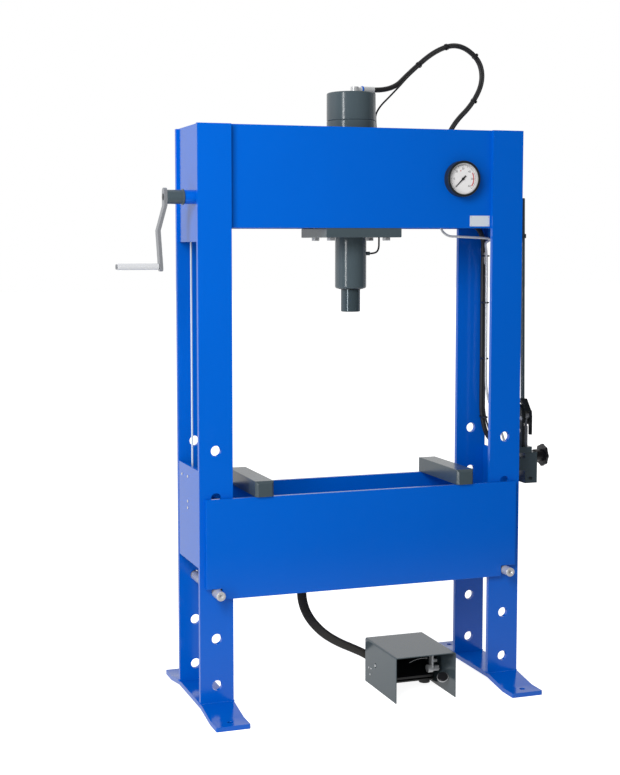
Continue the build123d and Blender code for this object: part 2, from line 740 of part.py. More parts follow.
root_x = pulley_pin_dia / 2 + running_gap
groove_x = pulley_groove_radius - rope_dia / 2 - running_gap
for side, sx in (("left", -1), ("right", 1)):
    with BuildPart() as pulley:
        with BuildSketch(Plane.XY.offset(pulley_z)):
            with BuildLine():
                profile = [
                    (root_x, -pulley_thick / 2),
                    (pulley_dia / 2, -pulley_thick / 2),
                    (pulley_dia / 2, -pulley_thick / 2 + 2),
                    (groove_x, -rope_dia / 2),
                    (groove_x, rope_dia / 2),
                    (pulley_dia / 2, pulley_thick / 2 - 2),
                    (pulley_dia / 2, pulley_thick / 2),
                    (root_x, pulley_thick / 2),
                ]
                Polyline(*[(sx * (pulley_x + x), rope_y + y) for x, y in profile], close=True)
            make_face()
        revolve(axis=Axis((sx * pulley_x, 0, pulley_z), (0, 1, 0)))
    pulley.part.label = f"bed_pulley_{side}"
    export_step(pulley.part, f"parts/bed_pulley_{side}.step")

with BuildPart() as bed_ties:
    with BuildSketch(Plane.XZ.offset(-bed_inner_y)):
        with Locations(*[(sx * bed_tie_x, bed_bottom_z + bed_tie_up) for sx in (-1, 1)]):
            Circle(bed_tie_dia / 2)
            Circle(bed_tie_dia / 2 - 5, mode=Mode.SUBTRACT)
    extrude(amount=2 * bed_inner_y)
bed_ties.part.label = "bed_ties"
export_step(bed_ties.part, "parts/bed_ties.step")

# lifting rope, from the drum down, under both pulleys and up to its anchor
with BuildPart() as rope_left:
    with BuildSketch(Plane.XY.offset(pulley_z)):
        with Locations((rope_drop_x, rope_y)):
            Circle(rope_dia / 2)
    extrude(amount=drum_z - pulley_z - math.sqrt(2 * rope_dia * wrap_radius))
rope_left.part.label = "rope_left"
export_step(rope_left.part, "parts/rope_left.step")

with BuildPart() as rope_right:
    with BuildSketch(Plane.XY.offset(pulley_z)):
        with Locations((anchor_x, rope_y)):
            Circle(rope_dia / 2)
    extrude(amount=anchor_z - pulley_z)
rope_right.part.label = "rope_right"
export_step(rope_right.part, "parts/rope_right.step")

with BuildPart() as rope_cross:
    with BuildLine():
        Line((-pulley_x, rope_y, rope_low_z), (pulley_x, rope_y, rope_low_z))
        ThreePointArc(
            (rope_drop_x, rope_y, pulley_z),
            (
                -pulley_x - pulley_groove_radius * math.sqrt(0.5),
                rope_y,
                pulley_z - pulley_groove_radius * math.sqrt(0.5),
            ),
            (-pulley_x, rope_y, rope_low_z),
        )
        ThreePointArc(
            (pulley_x, rope_y, rope_low_z),
            (
                pulley_x + pulley_groove_radius * math.sqrt(0.5),
                rope_y,
                pulley_z - pulley_groove_radius * math.sqrt(0.5),
            ),
            (anchor_x, rope_y, pulley_z),
        )
    with BuildSketch(Plane.XY.offset(pulley_z)):
        with Locations((rope_drop_x, rope_y)):
            Circle(rope_dia / 2)
    sweep()
rope_cross.part.label = "rope_cross"
export_step(rope_cross.part, "parts/rope_cross.step")

# ---------------------------------------------------------------- bed pins
for side, sx in (("left", -1), ("right", 1)):
    with BuildPart() as pin:
        front_y = -frame_depth / 2 - pin_overhang_front
        rear_y = frame_depth / 2 + pin_overhang_rear
        with BuildSketch(Plane.XZ.offset(-rear_y)):
            with Locations((sx * leg_x, pin_axis_z)):
                Circle(pin_dia / 2)
        extrude(amount=rear_y - front_y)
        chamfer(pin.edges().filter_by(GeomType.CIRCLE), 2)
        with Locations(Location((sx * leg_x, front_y, pin_axis_z), (90, 0, 0))):
            CounterSinkHole(1, pin_cone_dia / 2, depth=9)
    pin.part.label = f"bed_pin_{side}"
    export_step(pin.part, f"parts/bed_pin_{side}.step")

# ---------------------------------------------------------------- press blocks
for side, sx in (("left", -1), ("right", 1)):
    with BuildPart() as block:
        with BuildSketch(Plane.XY.offset(bed_top_z + running_gap)):
            with Locations((sx * block_x, 0)):
                Rectangle(block_width, block_length)
        extrude(amount=block_height)
        ends = block.faces().sort_by(Axis.Y)
        chamfer(ends[0].edges().filter_by(Axis.Z) + ends[0].edges().sort_by(Axis.Z)[-1:], block_chamfer)
        far_end = block.faces().sort_by(Axis.Y)[-1]
        chamfer(far_end.edges().filter_by(Axis.Z) + far_end.edges().sort_by(Axis.Z)[-1:], block_chamfer)
    block.part.label = f"press_block_{side}"
    export_step(block.part, f"parts/press_block_{side}.step")

# ---------------------------------------------------------------- pump
pump_bottom_z, pump_top_z = pump_block_z
pump_mid_x = sum(pump_block_x) / 2
pump_head_z = pump_top_z + pump_flange_thick
fork_inner_x = (fork_x[0] + fork_left_thick, fork_x[1] - fork_right_thick)
piston_x = sum(fork_inner_x) / 2
eye_thick = fork_inner_x[1] - fork_inner_x[0] - 2 * running_gap
with BuildPart() as pump_block:
    with BuildSketch(Plane.XY.offset(pump_bottom_z)):
        with Locations((pump_mid_x, pump_y)):
            Rectangle(pump_block_x[1] - pump_block_x[0], pump_block_depth)
    extrude(amount=pump_top_z - pump_bottom_z)
    chamfer(pump_block.edges().filter_by(Axis.Z).group_by(Axis.X)[-1], 2)
    # spacer between the block and the column's brace
    with BuildSketch(Plane.XY.offset(pump_spacer_z[0])):
        with Locations(((bracket_face_x + pump_block_x[0]) / 2, pump_y)):
            Rectangle(pump_block_x[0] - bracket_face_x, pump_block_depth)
    extrude(amount=pump_spacer_z[1] - pump_spacer_z[0])
    with BuildSketch(Plane.XY.offset(pump_top_z)):
        with Locations((sum(pump_flange_x) / 2, pump_y)):
            RectangleRounded(pump_flange_x[1] - pump_flange_x[0], pump_flange_depth, 6)
    extrude(amount=pump_flange_thick)
    with BuildSketch(Plane.XY.offset(pump_head_z)):
        with Locations((piston_x, pump_y)):
            Circle(piston_dia / 2 + running_gap)
    extrude(amount=-piston_bore_depth, mode=Mode.SUBTRACT)
    with BuildSketch(Plane.XZ.offset(-pump_y + pump_block_depth / 2)):
        with Locations((pump_mid_x, pump_bottom_z + 16)):
            Circle(5)
    extrude(amount=-12, mode=Mode.SUBTRACT)
pump_block.part.label = "pump_block"
export_step(pump_block.part, "parts/pump_block.step")

# upright plate on the flange, with the lever's pivot pin and its spacer
bracket_thick = pump_bracket_x[1] - pump_bracket_x[0]
with BuildPart() as pump_bracket:
    with BuildSketch(Plane.YZ.offset(pump_bracket_x[0])) as bracket_face:
        with BuildLine():
            Polyline(
                (pump_bracket_y[0], pump_head_z),
                (pump_y + pump_flange_depth / 2 - 4, pump_head_z),
                (pump_bracket_y[1], pivot_z - 22),
                (pump_bracket_y[1], pump_bracket_top_z),
                (pump_bracket_y[0], pump_bracket_top_z),
                close=True,
            )
        make_face()
        fillet(bracket_face.vertices().group_by(Axis.Y)[-1], pump_bracket_round)
    extrude(amount=bracket_thick)
    with BuildSketch(Plane.YZ.offset(pump_bracket_x[1])):
        with Locations((pivot_y, pivot_z)):
            Circle(lever_pin_dia / 2)
    extrude(amount=fork_x[1] + running_gap - pump_bracket_x[1])
    with BuildSketch(Plane.YZ.offset(fork_inner_x[0] + running_gap)):
        with Locations((pivot_y, pivot_z)):
            Circle(lever_pin_dia)
    extrude(amount=eye_thick)
    with BuildSketch(Plane.YZ.offset(fork_x[1] + running_gap)):
        with Locations((pivot_y, pivot_z)):
            RegularPolygon(lever_pin_dia, 6)
    extrude(amount=5)
pump_bracket.part.label = "pump_bracket"
export_step(pump_bracket.part, "parts/pump_bracket.step")

arm_reach = pivot_y - pump_y
start_tilt = math.radians(lever_swing / 2)
piston_pin_z = pivot_z + arm_reach * math.tan(start_tilt)
with BuildPart() as pump_piston:
    with BuildSketch(Plane.XY.offset(pump_head_z - piston_engaged)):
        with Locations((piston_x, pump_y)):
            Circle(piston_dia / 2)
    extrude(amount=piston_pin_z - piston_neck_height - pump_head_z + piston_engaged)
    with BuildSketch(Plane.XY.offset(piston_pin_z - piston_neck_height)):
        with Locations((piston_x, pump_y)):
            Circle(piston_neck_dia / 2)
    extrude(amount=piston_neck_height)
    with BuildSketch(Plane.YZ.offset(piston_x - eye_thick / 2)):
        with Locations((pump_y, piston_pin_z)):
            Circle(eye_dia / 2)
    extrude(amount=eye_thick)
    with BuildSketch(Plane.YZ.offset(fork_x[0] - running_gap)):
        with Locations((pump_y, piston_pin_z)):
            Circle(lever_pin_dia / 2)
    extrude(amount=fork_x[1] - fork_x[0] + 2 * running_gap)
pump_piston.part.label = "pump_piston"
export_step(pump_piston.part, "parts/pump_piston.step")

# forked lever: two cheeks under a slanting neck, the right cheek with a tail
slot_far = arm_reach / math.cos(start_tilt)
slot_middle = (arm_reach + slot_far) / 2
slot_direction = math.degrees(start_tilt)
slot_width = lever_pin_dia + 2 * lever_slot_gap
slot_y = pivot_y - slot_middle * math.cos(start_tilt)
slot_z = pivot_z + slot_middle * math.sin(start_tilt)
fork_front_y = pump_y - fork_depth / 2
fork_rear_y = pump_y + fork_depth / 2
tail_front_y = fork_front_y - 3
tail_foot_z = pivot_z - 49
left_cheek = [
    (fork_front_y, fork_neck_z),
    (tail_front_y, piston_pin_z),
    (tail_front_y + 3, pivot_z - 4),
    (pump_y + 6, pivot_z - 12),
    (pivot_y + 8, pivot_z - 14),
    (pivot_y + 15, pivot_z - 4),
    (pivot_y + 15, pivot_z + 12),
    (fork_rear_y + 16, fork_neck_z - 6),
    (fork_rear_y, fork_neck_z),
]
tail = [(tail_front_y, tail_foot_z), (tail_front_y + 12, tail_foot_z), (tail_front_y + 13, pivot_z - 14)]
right_cheek = left_cheek[:2] + tail + left_cheek[4:]
with BuildPart() as lever_bar:
    for outline, start_x, thick in (
        (left_cheek, fork_x[0], fork_left_thick),
        (right_cheek, fork_inner_x[1], fork_right_thick),
    ):
        with BuildSketch(Plane.YZ.offset(start_x)):
            with BuildLine():
                Polyline(*outline, close=True)
            make_face()
            with Locations((pivot_y, pivot_z)):
                Circle(lever_pin_dia / 2 + running_gap, mode=Mode.SUBTRACT)
            with Locations((slot_y, slot_z)):
                SlotCenterToCenter(
                    slot_far - arm_reach + 1, slot_width, rotation=-slot_direction, mode=Mode.SUBTRACT
                )
        extrude(amount=thick)
    with BuildSketch(Plane.XZ.offset(-fork_rear_y)):
        with BuildLine():
            Polyline(
                (fork_x[0], fork_neck_z),
                (fork_x[1], fork_neck_z),
                (fork_x[1] - 4, fork_neck_z + 6),
                (lever_rod_foot[0] + 11, lever_rod_foot[1]),
                (lever_rod_foot[0] - 15, lever_rod_foot[1]),
                (lever_rod_foot[0] - 14, lever_rod_foot[1] - 4),
                (fork_x[0], fork_neck_z + 24),
                close=True,
            )
        make_face()
    extrude(amount=fork_depth)
lever_bar.part.label = "lever_bar"
export_step(lever_bar.part, "parts/lever_bar.step")

rod_foot_x, rod_foot_z = lever_rod_foot
rod_top_x, rod_top_z = lever_rod_top
rod_plane = Plane(origin=(rod_foot_x, pump_y, rod_foot_z), z_dir=(rod_top_x - rod_foot_x, 0, rod_top_z - rod_foot_z))
with BuildPart() as lever_rod:
    with BuildSketch(rod_plane):
        Circle(lever_rod_dia / 2)
    extrude(amount=math.hypot(rod_top_x - rod_foot_x, rod_top_z - rod_foot_z))
    chamfer(lever_rod.edges().filter_by(GeomType.CIRCLE).sort_by(Axis.Z)[-1], 2)
lever_rod.part.label = "lever_rod"
export_step(lever_rod.part, "parts/lever_rod.step")

# spring clip on the head that holds the rod upright, open to the front
clip_z = end_bottom_z + 18
lever_rod_x = rod_foot_x + (rod_top_x - rod_foot_x) * (clip_z - rod_foot_z) / (rod_top_z - rod_foot_z)
end_outer_x = frame_width / 2 - end_plate_recess
with BuildPart() as lever_clip:
    with BuildSketch(Plane.XY.offset(clip_z - 7)):
        with Locations((lever_rod_x, pump_y)):
            Circle(lever_rod_dia / 2 + 4)
            Circle(lever_rod_dia / 2 + running_gap, mode=Mode.SUBTRACT)
            with Locations((0, -lever_rod_dia)):
                Rectangle(lever_rod_dia + 2 * running_gap, 2 * lever_rod_dia, mode=Mode.SUBTRACT)
        with BuildLine():
            Polyline(
                (end_outer_x, pump_y + 12),
                (end_outer_x, pump_y + 30),
                (end_outer_x + 4, pump_y + 30),
                (end_outer_x + 4, pump_y + 12),
                (lever_rod_x, pump_y + lever_rod_dia / 2 + 4),
                (lever_rod_x, pump_y + lever_rod_dia / 2 + 1),
                close=True,
            )
        make_face()
    extrude(amount=14)
lever_clip.part.label = "lever_clip"
export_step(lever_clip.part, "parts/lever_clip.step")

# release knob on the outer face of the pump block
knob_start_x = pump_block_x[1]
with BuildPart() as release_knob:
    with BuildSketch(Plane.YZ.offset(knob_start_x + running_gap)):
        with Locations((pump_y, knob_z)):
            Circle(knob_neck_dia / 2)
    extrude(amount=knob_neck_length)
    with BuildSketch(Plane.YZ.offset(knob_start_x + running_gap + knob_neck_length)):
        with Locations((pump_y, knob_z)):
            Circle(knob_disc_dia / 2 - 3)
            with PolarLocations(knob_disc_dia / 2 - 10, knob_lobes):
                Circle(10)
    extrude(amount=knob_disc_thick)
    fillet(release_knob.faces().sort_by(Axis.X)[-1].edges(), 2)
release_knob.part.label = "release_knob"
export_step(release_knob.part, "parts/release_knob.step")

# ---------------------------------------------------------------- foot pedal
gland = (130.0, 42.0)
gland_dia = 18.0
pedal_mid_x = sum(pedal_x) / 2
pedal_mid_y = sum(pedal_y) / 2
pedal_depth = pedal_y[1] - pedal_y[0]
with BuildPart() as pedal_guard:
    with BuildSketch():
        with Locations((pedal_mid_x, pedal_mid_y)):
            Rectangle(pedal_x[1] - pedal_x[0], pedal_depth)
    extrude(amount=pedal_height)
    fillet(pedal_guard.faces().sort_by(Axis.Z)[-1].edges().filter_by(Axis.Y), 6)
    with BuildSketch(Plane.XZ.offset(-pedal_y[1] + pedal_sheet)):
        with Locations((pedal_mid_x, 0)):
            Rectangle(
                pedal_x[1] - pedal_x[0] - 2 * pedal_sheet,
                pedal_height - pedal_sheet,
                align=(Align.CENTER, Align.MIN),
            )
    extrude(amount=pedal_depth, mode=Mode.SUBTRACT)
    with BuildSketch(Plane.YZ.offset(pedal_x[0])):
        with Locations((-16, 56), (-34, 57), (-26, 35)):
            Circle(3)
        with Locations((-71, 78)):
            SlotCenterToCenter(8, 9, rotation=90)
    extrude(amount=pedal_sheet, mode=Mode.SUBTRACT)
    with BuildSketch(Plane.XZ.offset(-pedal_y[1])):
        with Locations(gland):
            Circle(gland_dia / 2 + running_gap)
    extrude(amount=pedal_sheet, mode=Mode.SUBTRACT)
pedal_guard.part.label = "pedal_guard"
export_step(pedal_guard.part, "parts/pedal_guard.step")

base_depth = pedal_base_y[1] - pedal_base_y[0]
with BuildPart() as pedal_base:
    with BuildSketch(Plane.XY.offset(pedal_base_up)):
        with Locations((pedal_mid_x, sum(pedal_base_y) / 2)):
            Rectangle(pedal_x[1] - pedal_x[0] - 2 * pedal_sheet, base_depth)
    extrude(amount=5)
    for sx in (-1, 1):
        with BuildSketch(Plane.YZ.offset(pedal_mid_x + sx * (treadle_width / 2 + 5) - 2.5)):
            with BuildLine():
                Polyline(
                    (treadle_pivot[0] - 22, pedal_base_up + 5),
                    (treadle_pivot[0] + 22, pedal_base_up + 5),
                    (treadle_pivot[0] + 9, treadle_pivot[1] + 9),
                    (treadle_pivot[0] - 9, treadle_pivot[1] + 9),
                    close=True,
                )
            make_face()
        extrude(amount=5)
    with BuildSketch(Plane.YZ.offset(pedal_mid_x - treadle_width / 2 - 8)):
        with Locations(treadle_pivot):
            Circle(treadle_pin_dia / 2)
    extrude(amount=treadle_width + 16)
pedal_base.part.label = "pedal_base"
export_step(pedal_base.part, "parts/pedal_base.step")

with BuildPart() as pedal_feet:
    with BuildSketch():
        for x in (pedal_x[0] + 28, pedal_x[1] - 28):
            for y in (pedal_base_y[0] + 20, pedal_base_y[1] - 22):
                with Locations((x, y)):
                    Circle(pedal_foot_dia / 2)
    extrude(amount=pedal_base_up)
pedal_feet.part.label = "pedal_feet"
export_step(pedal_feet.part, "parts/pedal_feet.step")

with BuildPart() as treadle:
    with BuildSketch(Plane.YZ.offset(pedal_mid_x - treadle_width / 2 + 2)):
        with BuildLine():
            Polyline(
                (treadle_pivot[0], treadle_pivot[1] + 12),
                (treadle_pivot[0] - 12, treadle_pivot[1] + 12),
                (treadle_front_y, treadle_front_z + treadle_thick / 2),
                (treadle_front_y, treadle_front_z - treadle_thick / 2),
                (treadle_pivot[0] - 14, treadle_pivot[1] + 2),
                (treadle_pivot[0] - 8, treadle_pivot[1] - 8),
                (treadle_pivot[0] + 8, treadle_pivot[1] - 8),
                (treadle_pivot[0] + 8, treadle_pivot[1] + 8),
                close=True,
            )
        make_face()
        with Locations(treadle_pivot):
            Circle(treadle_pin_dia / 2 + running_gap, mode=Mode.SUBTRACT)
    extrude(amount=treadle_width - 4)
    fillet(treadle.edges().filter_by(Axis.Z).group_by(Axis.Y)[0], 19)
treadle.part.label = "treadle"
export_step(treadle.part, "parts/treadle.step")

# valve block under the treadle, with its gland through the back of the guard,
# and the valve that hangs from the guard's top plate with its two nipples
hung_x = 237.0
hung_y = -138.0
hung_z = 72.0
with BuildPart() as pedal_valve:
    with BuildSketch(Plane.XY.offset(pedal_base_up + 5)):
        with Locations((gland[0], -12)):
            Rectangle(34, 22)
    extrude(amount=gland[1] - pedal_base_up + 5)
    with BuildSketch(Plane.XZ.offset(-pedal_y[1] - 18)):
        with Locations(gland):
            Circle(gland_dia / 2)
    extrude(amount=pedal_y[1] + 20)
    with BuildSketch(Plane.XZ.offset(-pedal_y[1] - 10)):
        with Locations(gland):
            RegularPolygon(14, 6)
    extrude(amount=10 - running_gap)
    with BuildSketch(Plane.XY.offset(hung_z)):
        with Locations((hung_x, hung_y)):
            Rectangle(6, 24)
    extrude(amount=pedal_height - pedal_sheet - hung_z)
    with BuildSketch(Plane.YZ.offset(hung_x - 14)):
        with Locations((hung_y, hung_z)):
            Circle(13)
    extrude(amount=17)
    with BuildSketch(Plane.YZ.offset(hung_x + 3)):
        with Locations((hung_y, hung_z)):
            RegularPolygon(10, 6)
    extrude(amount=23)
    with BuildSketch(Plane.YZ.offset(hung_x + 3)):
        with Locations((hung_y, hung_z + 26)):
            Circle(6)
    extrude(amount=16)
pedal_valve.part.label = "pedal_valve"
export_step(pedal_valve.part, "parts/pedal_valve.step")

# ---------------------------------------------------------------- hoses and pipes
hose_split = (350, 52, 1725)
loop_points = [
    (ferrule_end_x, 0, fitting_z),
    (145, 0, fitting_z),
    (210, 0, 2048),
    (300, 0, 2122),
    (385, 0, 2148),
    (462, 0, 2100),
    (478, 0, 2025),
    (440, 4, 1948),
    (378, 18, 1885),
    (350, 40, 1805),
    hose_split,
]
with BuildPart() as hose_loop:
    with BuildLine():
        loop_path, loop_radii = route(loop_points)
    with BuildSketch(Plane(origin=loop_points[0], z_dir=loop_path % 0)):
        Circle(hose_dia / 2)
    sweep()
print("hose loop radii", [round(r) for r in loop_radii], "length", round(loop_path.length))
hose_loop.part.label = "hose_loop"
export_step(hose_loop.part, "parts/hose_loop.step")

# thin return line from the nose, up through the flange to the main hose
line_gap = hose_dia / 2 + vent_dia / 2 + 2
vent_split = (hose_split[0], hose_split[1] - line_gap, hose_split[2])
vent_points = [
    (vent_port_x, vent_port_y, vent_port_z),
    (84, vent_port_y, vent_port_z),
    (102, 4, 1466),
    (105, 10, 1491),
    (104.5, 10, 1600),
    (100, 10, 1780),
    (89, 6, 1872),
    (86, 0, 1918),
    (150, -line_gap, 1982),
    (210, -line_gap, 2046),
    (300, -line_gap, 2122),
    (385, -line_gap, 2148),
    (462, -line_gap, 2100),
    (478, -line_gap, 2025),
    (440, 4 - line_gap, 1948),
    (378, 18 - line_gap, 1885),
    (350, 40 - line_gap, 1805),
    vent_split,
]
with BuildPart() as vent_line:
    with BuildLine():
        vent_path, vent_radii = route(vent_points)
    with BuildSketch(Plane(origin=vent_points[0], z_dir=vent_path % 0)):
        Circle(vent_dia / 2)
    sweep()
print("vent line radii", [round(r) for r in vent_radii], "length", round(vent_path.length))
vent_line.part.label = "vent_line"
export_step(vent_line.part, "parts/vent_line.step")

# pressure and return hoses inside the head, down the right column to the pump
pump_rear_y = pump_y + pump_block_depth / 2
port_reach = 18.0
supply_port = (664.0, 722.0)
return_port = (675.0, 692.0)
gauge_port = (648.0, 746.0)
pedal_port = (656.0, 684.0)
column_points = [
    hose_split,
    (350, 61.6, 1661),
    (370, 64, 1603),
    (430, 67, 1574),
    (494, 78, 1552),
    (535, 94, 1502),
    (540, 106, 1432),
    (541, 107, 885),
    (556, 101, 812),
    (604, 100, 768),
    (652, 88, 735),
    (supply_port[0], 58, supply_port[1]),
    (supply_port[0], pump_rear_y + port_reach, supply_port[1]),
]
return_points = [
    vent_split,
    (350, 61.6 - line_gap, 1661),
    (372, 48, 1592),
    (432, 53, 1559),
    (498, 62, 1530),
    (536, 80, 1482),
    (542, 92, 1420),
    (543, 92, 885),
    (572, 82, 797),
    (620, 78, 738),
    (664, 70, 700),
    (return_port[0], 52, return_port[1]),
    (return_port[0], pump_rear_y + port_reach, return_port[1]),
]
with BuildPart() as column_hoses:
    with BuildLine():
        column_path, column_radii = route(column_points)
    with BuildSketch(Plane(origin=column_points[0], z_dir=column_path % 0)):
        Circle(hose_dia / 2)
    sweep()
with BuildPart() as return_hose:
    with BuildLine():
        return_path, return_radii = route(return_points)
    with BuildSketch(Plane(origin=return_points[0], z_dir=return_path % 0)):
        Circle(vent_dia / 2)
    sweep()
print("column hose radii", [round(r) for r in column_radii])
print("return hose radii", [round(r) for r in return_radii])
column_hoses.part.label = "column_hose"
export_step(column_hoses.part, "parts/column_hose.step")
return_hose.part.label = "return_hose"
export_step(return_hose.part, "parts/return_hose.step")

# rigid pipe from the gauge, below the head and down the right column
gauge_points = [
    (gauge_x, gauge_back_y + gauge_can_depth, gauge_z),
    (gauge_x, -66, gauge_z),
    (326, -60, 1640),
    (302, -66, 1574),
    (289, -72, 1530),
    (314, -74, 1507),
    (410, -74, 1503),
    (480, -62, 1500),
    (508, -10, 1495),
    (514, 42, 1486),
    (534, 70, 1456),
    (540, 78, 1390),
    (539, 73, 990),
    (548, 68, 930),
    (590, 66, 850),
    (614, 64, 775),
    (gauge_port[0], 52, gauge_port[1]),
    (gauge_port[0], pump_rear_y + port_reach, gauge_port[1]),
]
with BuildPart() as gauge_pipe:
    with BuildLine():
        pipe_path, pipe_radii = route(gauge_points)
    with BuildSketch(Plane(origin=gauge_points[0], z_dir=pipe_path % 0)):
        Circle(pipe_dia / 2)
    sweep()
print("gauge pipe radii", [round(r) for r in pipe_radii])
gauge_pipe.part.label = "gauge_pipe"
export_step(gauge_pipe.part, "parts/gauge_pipe.step")

# ports on the back of the pump block
with BuildPart() as pump_ports:
    for port, size in (
        (supply_port, hose_dia),
        (return_port, vent_dia + 4),
        (gauge_port, pipe_dia + 4),
        (pedal_port, pedal_hose_dia - 2),
    ):
        with BuildSketch(Plane.XZ.offset(-pump_rear_y - port_reach)):
            with Locations(port):
                Circle(size / 2)
        extrude(amount=port_reach)
pump_ports.part.label = "pump_ports"
export_step(pump_ports.part, "parts/pump_ports.step")

# sleeved hose from the pump, behind the bed and down to the foot pedal
pedal_points = [
    (pedal_port[0], pump_rear_y + port_reach, pedal_port[1]),
    (pedal_port[0], 80, 684),
    (644, 136, 680),
    (604, 181, 662),
    (540, 205, 630),
    (450, 210, 594),
    (350, 206, 558),
    (240, 202, 527),
    (130, 202, 498),
    (30, 204, 462),
    (-50, 198, 412),
    (-98, 188, 342),
    (-112, 172, 268),
    (-97, 150, 205),
    (-57, 118, 153),
    (-8, 92, 121),
    (44, 76, 98),
    (88, 68, 76),
    (118, 62, 53),
    (gland[0], 50, gland[1]),
    (gland[0], pedal_y[1] + 18, gland[1]),
]
with BuildPart() as pedal_hose:
    with BuildLine():
        pedal_path, pedal_radii = route(pedal_points)
    with BuildSketch(Plane(origin=pedal_points[0], z_dir=pedal_path % 0)):
        Circle(pedal_hose_dia / 2)
    sweep()
print("pedal hose radii", [round(r) for r in pedal_radii], "length", round(pedal_path.length))
pedal_hose.part.label = "pedal_hose"
export_step(pedal_hose.part, "parts/pedal_hose.step")
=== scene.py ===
"""Dresses the two-column hydraulic shop press: finishes, softened edges, hoses, welds and small parts.

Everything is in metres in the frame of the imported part: +X to the pump side, +Y to the rear, +Z up.
"""

from __future__ import annotations

import json
import logging
import math
from collections.abc import Callable
from dataclasses import dataclass
from enum import Enum

import bpy
from mathutils import Matrix, Vector

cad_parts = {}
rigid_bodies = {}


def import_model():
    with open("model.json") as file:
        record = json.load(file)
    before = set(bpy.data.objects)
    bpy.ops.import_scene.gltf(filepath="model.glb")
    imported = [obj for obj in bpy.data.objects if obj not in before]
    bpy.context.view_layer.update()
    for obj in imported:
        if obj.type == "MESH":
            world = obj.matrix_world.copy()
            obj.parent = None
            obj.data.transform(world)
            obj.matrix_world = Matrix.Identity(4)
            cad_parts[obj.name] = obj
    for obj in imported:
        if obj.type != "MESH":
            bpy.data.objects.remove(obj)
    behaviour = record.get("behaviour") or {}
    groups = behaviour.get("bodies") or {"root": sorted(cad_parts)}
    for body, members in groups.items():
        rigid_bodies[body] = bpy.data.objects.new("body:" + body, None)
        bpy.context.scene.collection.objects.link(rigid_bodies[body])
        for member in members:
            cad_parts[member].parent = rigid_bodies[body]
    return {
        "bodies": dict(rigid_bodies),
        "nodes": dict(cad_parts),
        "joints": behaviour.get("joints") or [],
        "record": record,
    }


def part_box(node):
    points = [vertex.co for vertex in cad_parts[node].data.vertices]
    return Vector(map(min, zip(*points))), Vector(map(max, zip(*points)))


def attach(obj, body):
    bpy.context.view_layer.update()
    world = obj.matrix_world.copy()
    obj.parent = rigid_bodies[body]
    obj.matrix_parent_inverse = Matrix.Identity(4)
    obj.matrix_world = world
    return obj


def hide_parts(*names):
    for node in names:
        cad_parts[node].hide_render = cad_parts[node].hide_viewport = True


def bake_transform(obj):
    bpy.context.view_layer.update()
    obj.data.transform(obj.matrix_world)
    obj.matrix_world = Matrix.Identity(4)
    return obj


LOG = logging.getLogger("shop_press")
Point = tuple[float, float, float]
FaceTest = Callable[[Vector, Vector], bool]
Sockets = dict[str | int, object]
MM = 0.001
SQUARE_ON = 0.9
WELD_GAP = 1e-5
FLAT_ANGLE = math.radians(0.5)
SMOOTH_ANGLE = math.radians(40)


class Body(Enum):
    """The moving bodies that the dressed pieces ride on."""

    FRAME = "frame"
    CARRIAGE = "cylinder_carriage"
    RAM = "ram"
    BED = "bed"
    PULLEY_LEFT = "pulley_left"
    PULLEY_RIGHT = "pulley_right"
    DRUM = "drum"
    CRANK = "crank"
    GRIP = "grip"
    PIN_LEFT = "pin_left"
    PIN_RIGHT = "pin_right"
    BLOCK_LEFT = "block_left"
    BLOCK_RIGHT = "block_right"
    LEVER = "pump_lever"
    PLUNGER = "pump_plunger"
    KNOB = "release_knob"
    TREADLE = "treadle"
    NEEDLE = "needle"


def placed(name: str, data: bpy.types.ID) -> bpy.types.Object:
    """Put a mesh, curve, lamp or camera in the scene."""
    thing = bpy.data.objects.new(name, data)
    bpy.context.scene.collection.objects.link(thing)
    return thing


class Graph:
    """The node tree of a material or of the surroundings."""

    def __init__(self, owner: bpy.types.Material | bpy.types.World) -> None:
        """Start from the nodes that the owner has when it is new."""
        owner.use_nodes = True
        self.nodes = owner.node_tree.nodes
        self.links = owner.node_tree.links

    def set(self, node: bpy.types.Node, values: Sockets) -> None:
        """Set sockets of a node by name or number."""
        for socket, value in values.items():
            node.inputs[socket].default_value = value

    def add(self, kind: str, values: Sockets | None = None, **settings: str) -> bpy.types.Node:
        """Add a node.

        Args:
            kind: Its type.
            values: Its sockets that are set.
            settings: Its own choices, such as the kind of data that it mixes.

        Returns:
            The new node.
        """
        node = self.nodes.new(kind)
        for name, value in settings.items():
            setattr(node, name, value)
        self.set(node, values or {})
        return node

    def join(self, source: bpy.types.Node, output: str, target: bpy.types.Node, socket: str | int) -> None:
        """Lead one node's output to another's socket."""
        self.links.new(source.outputs[output], target.inputs[socket])

    def rise(self, place: str, span: tuple[float, float], top: float) -> bpy.types.Node:
        """Make a value that rises from front to back.

        Args:
            place: The coordinates that it reads.
            span: The Y where it starts to rise and the Y where it stops.
            top: Its value there.

        Returns:
            The node that gives it.
        """
        where = self.add("ShaderNodeTexCoord")
        split = self.add("ShaderNodeSeparateXYZ")
        low, high = span
        level = self.add("ShaderNodeMapRange", {"From Min": low, "From Max": high, "To Max": top})
        self.join(where, place, split, "Vector")
        self.join(split, "Y", level, "Value")
        return level


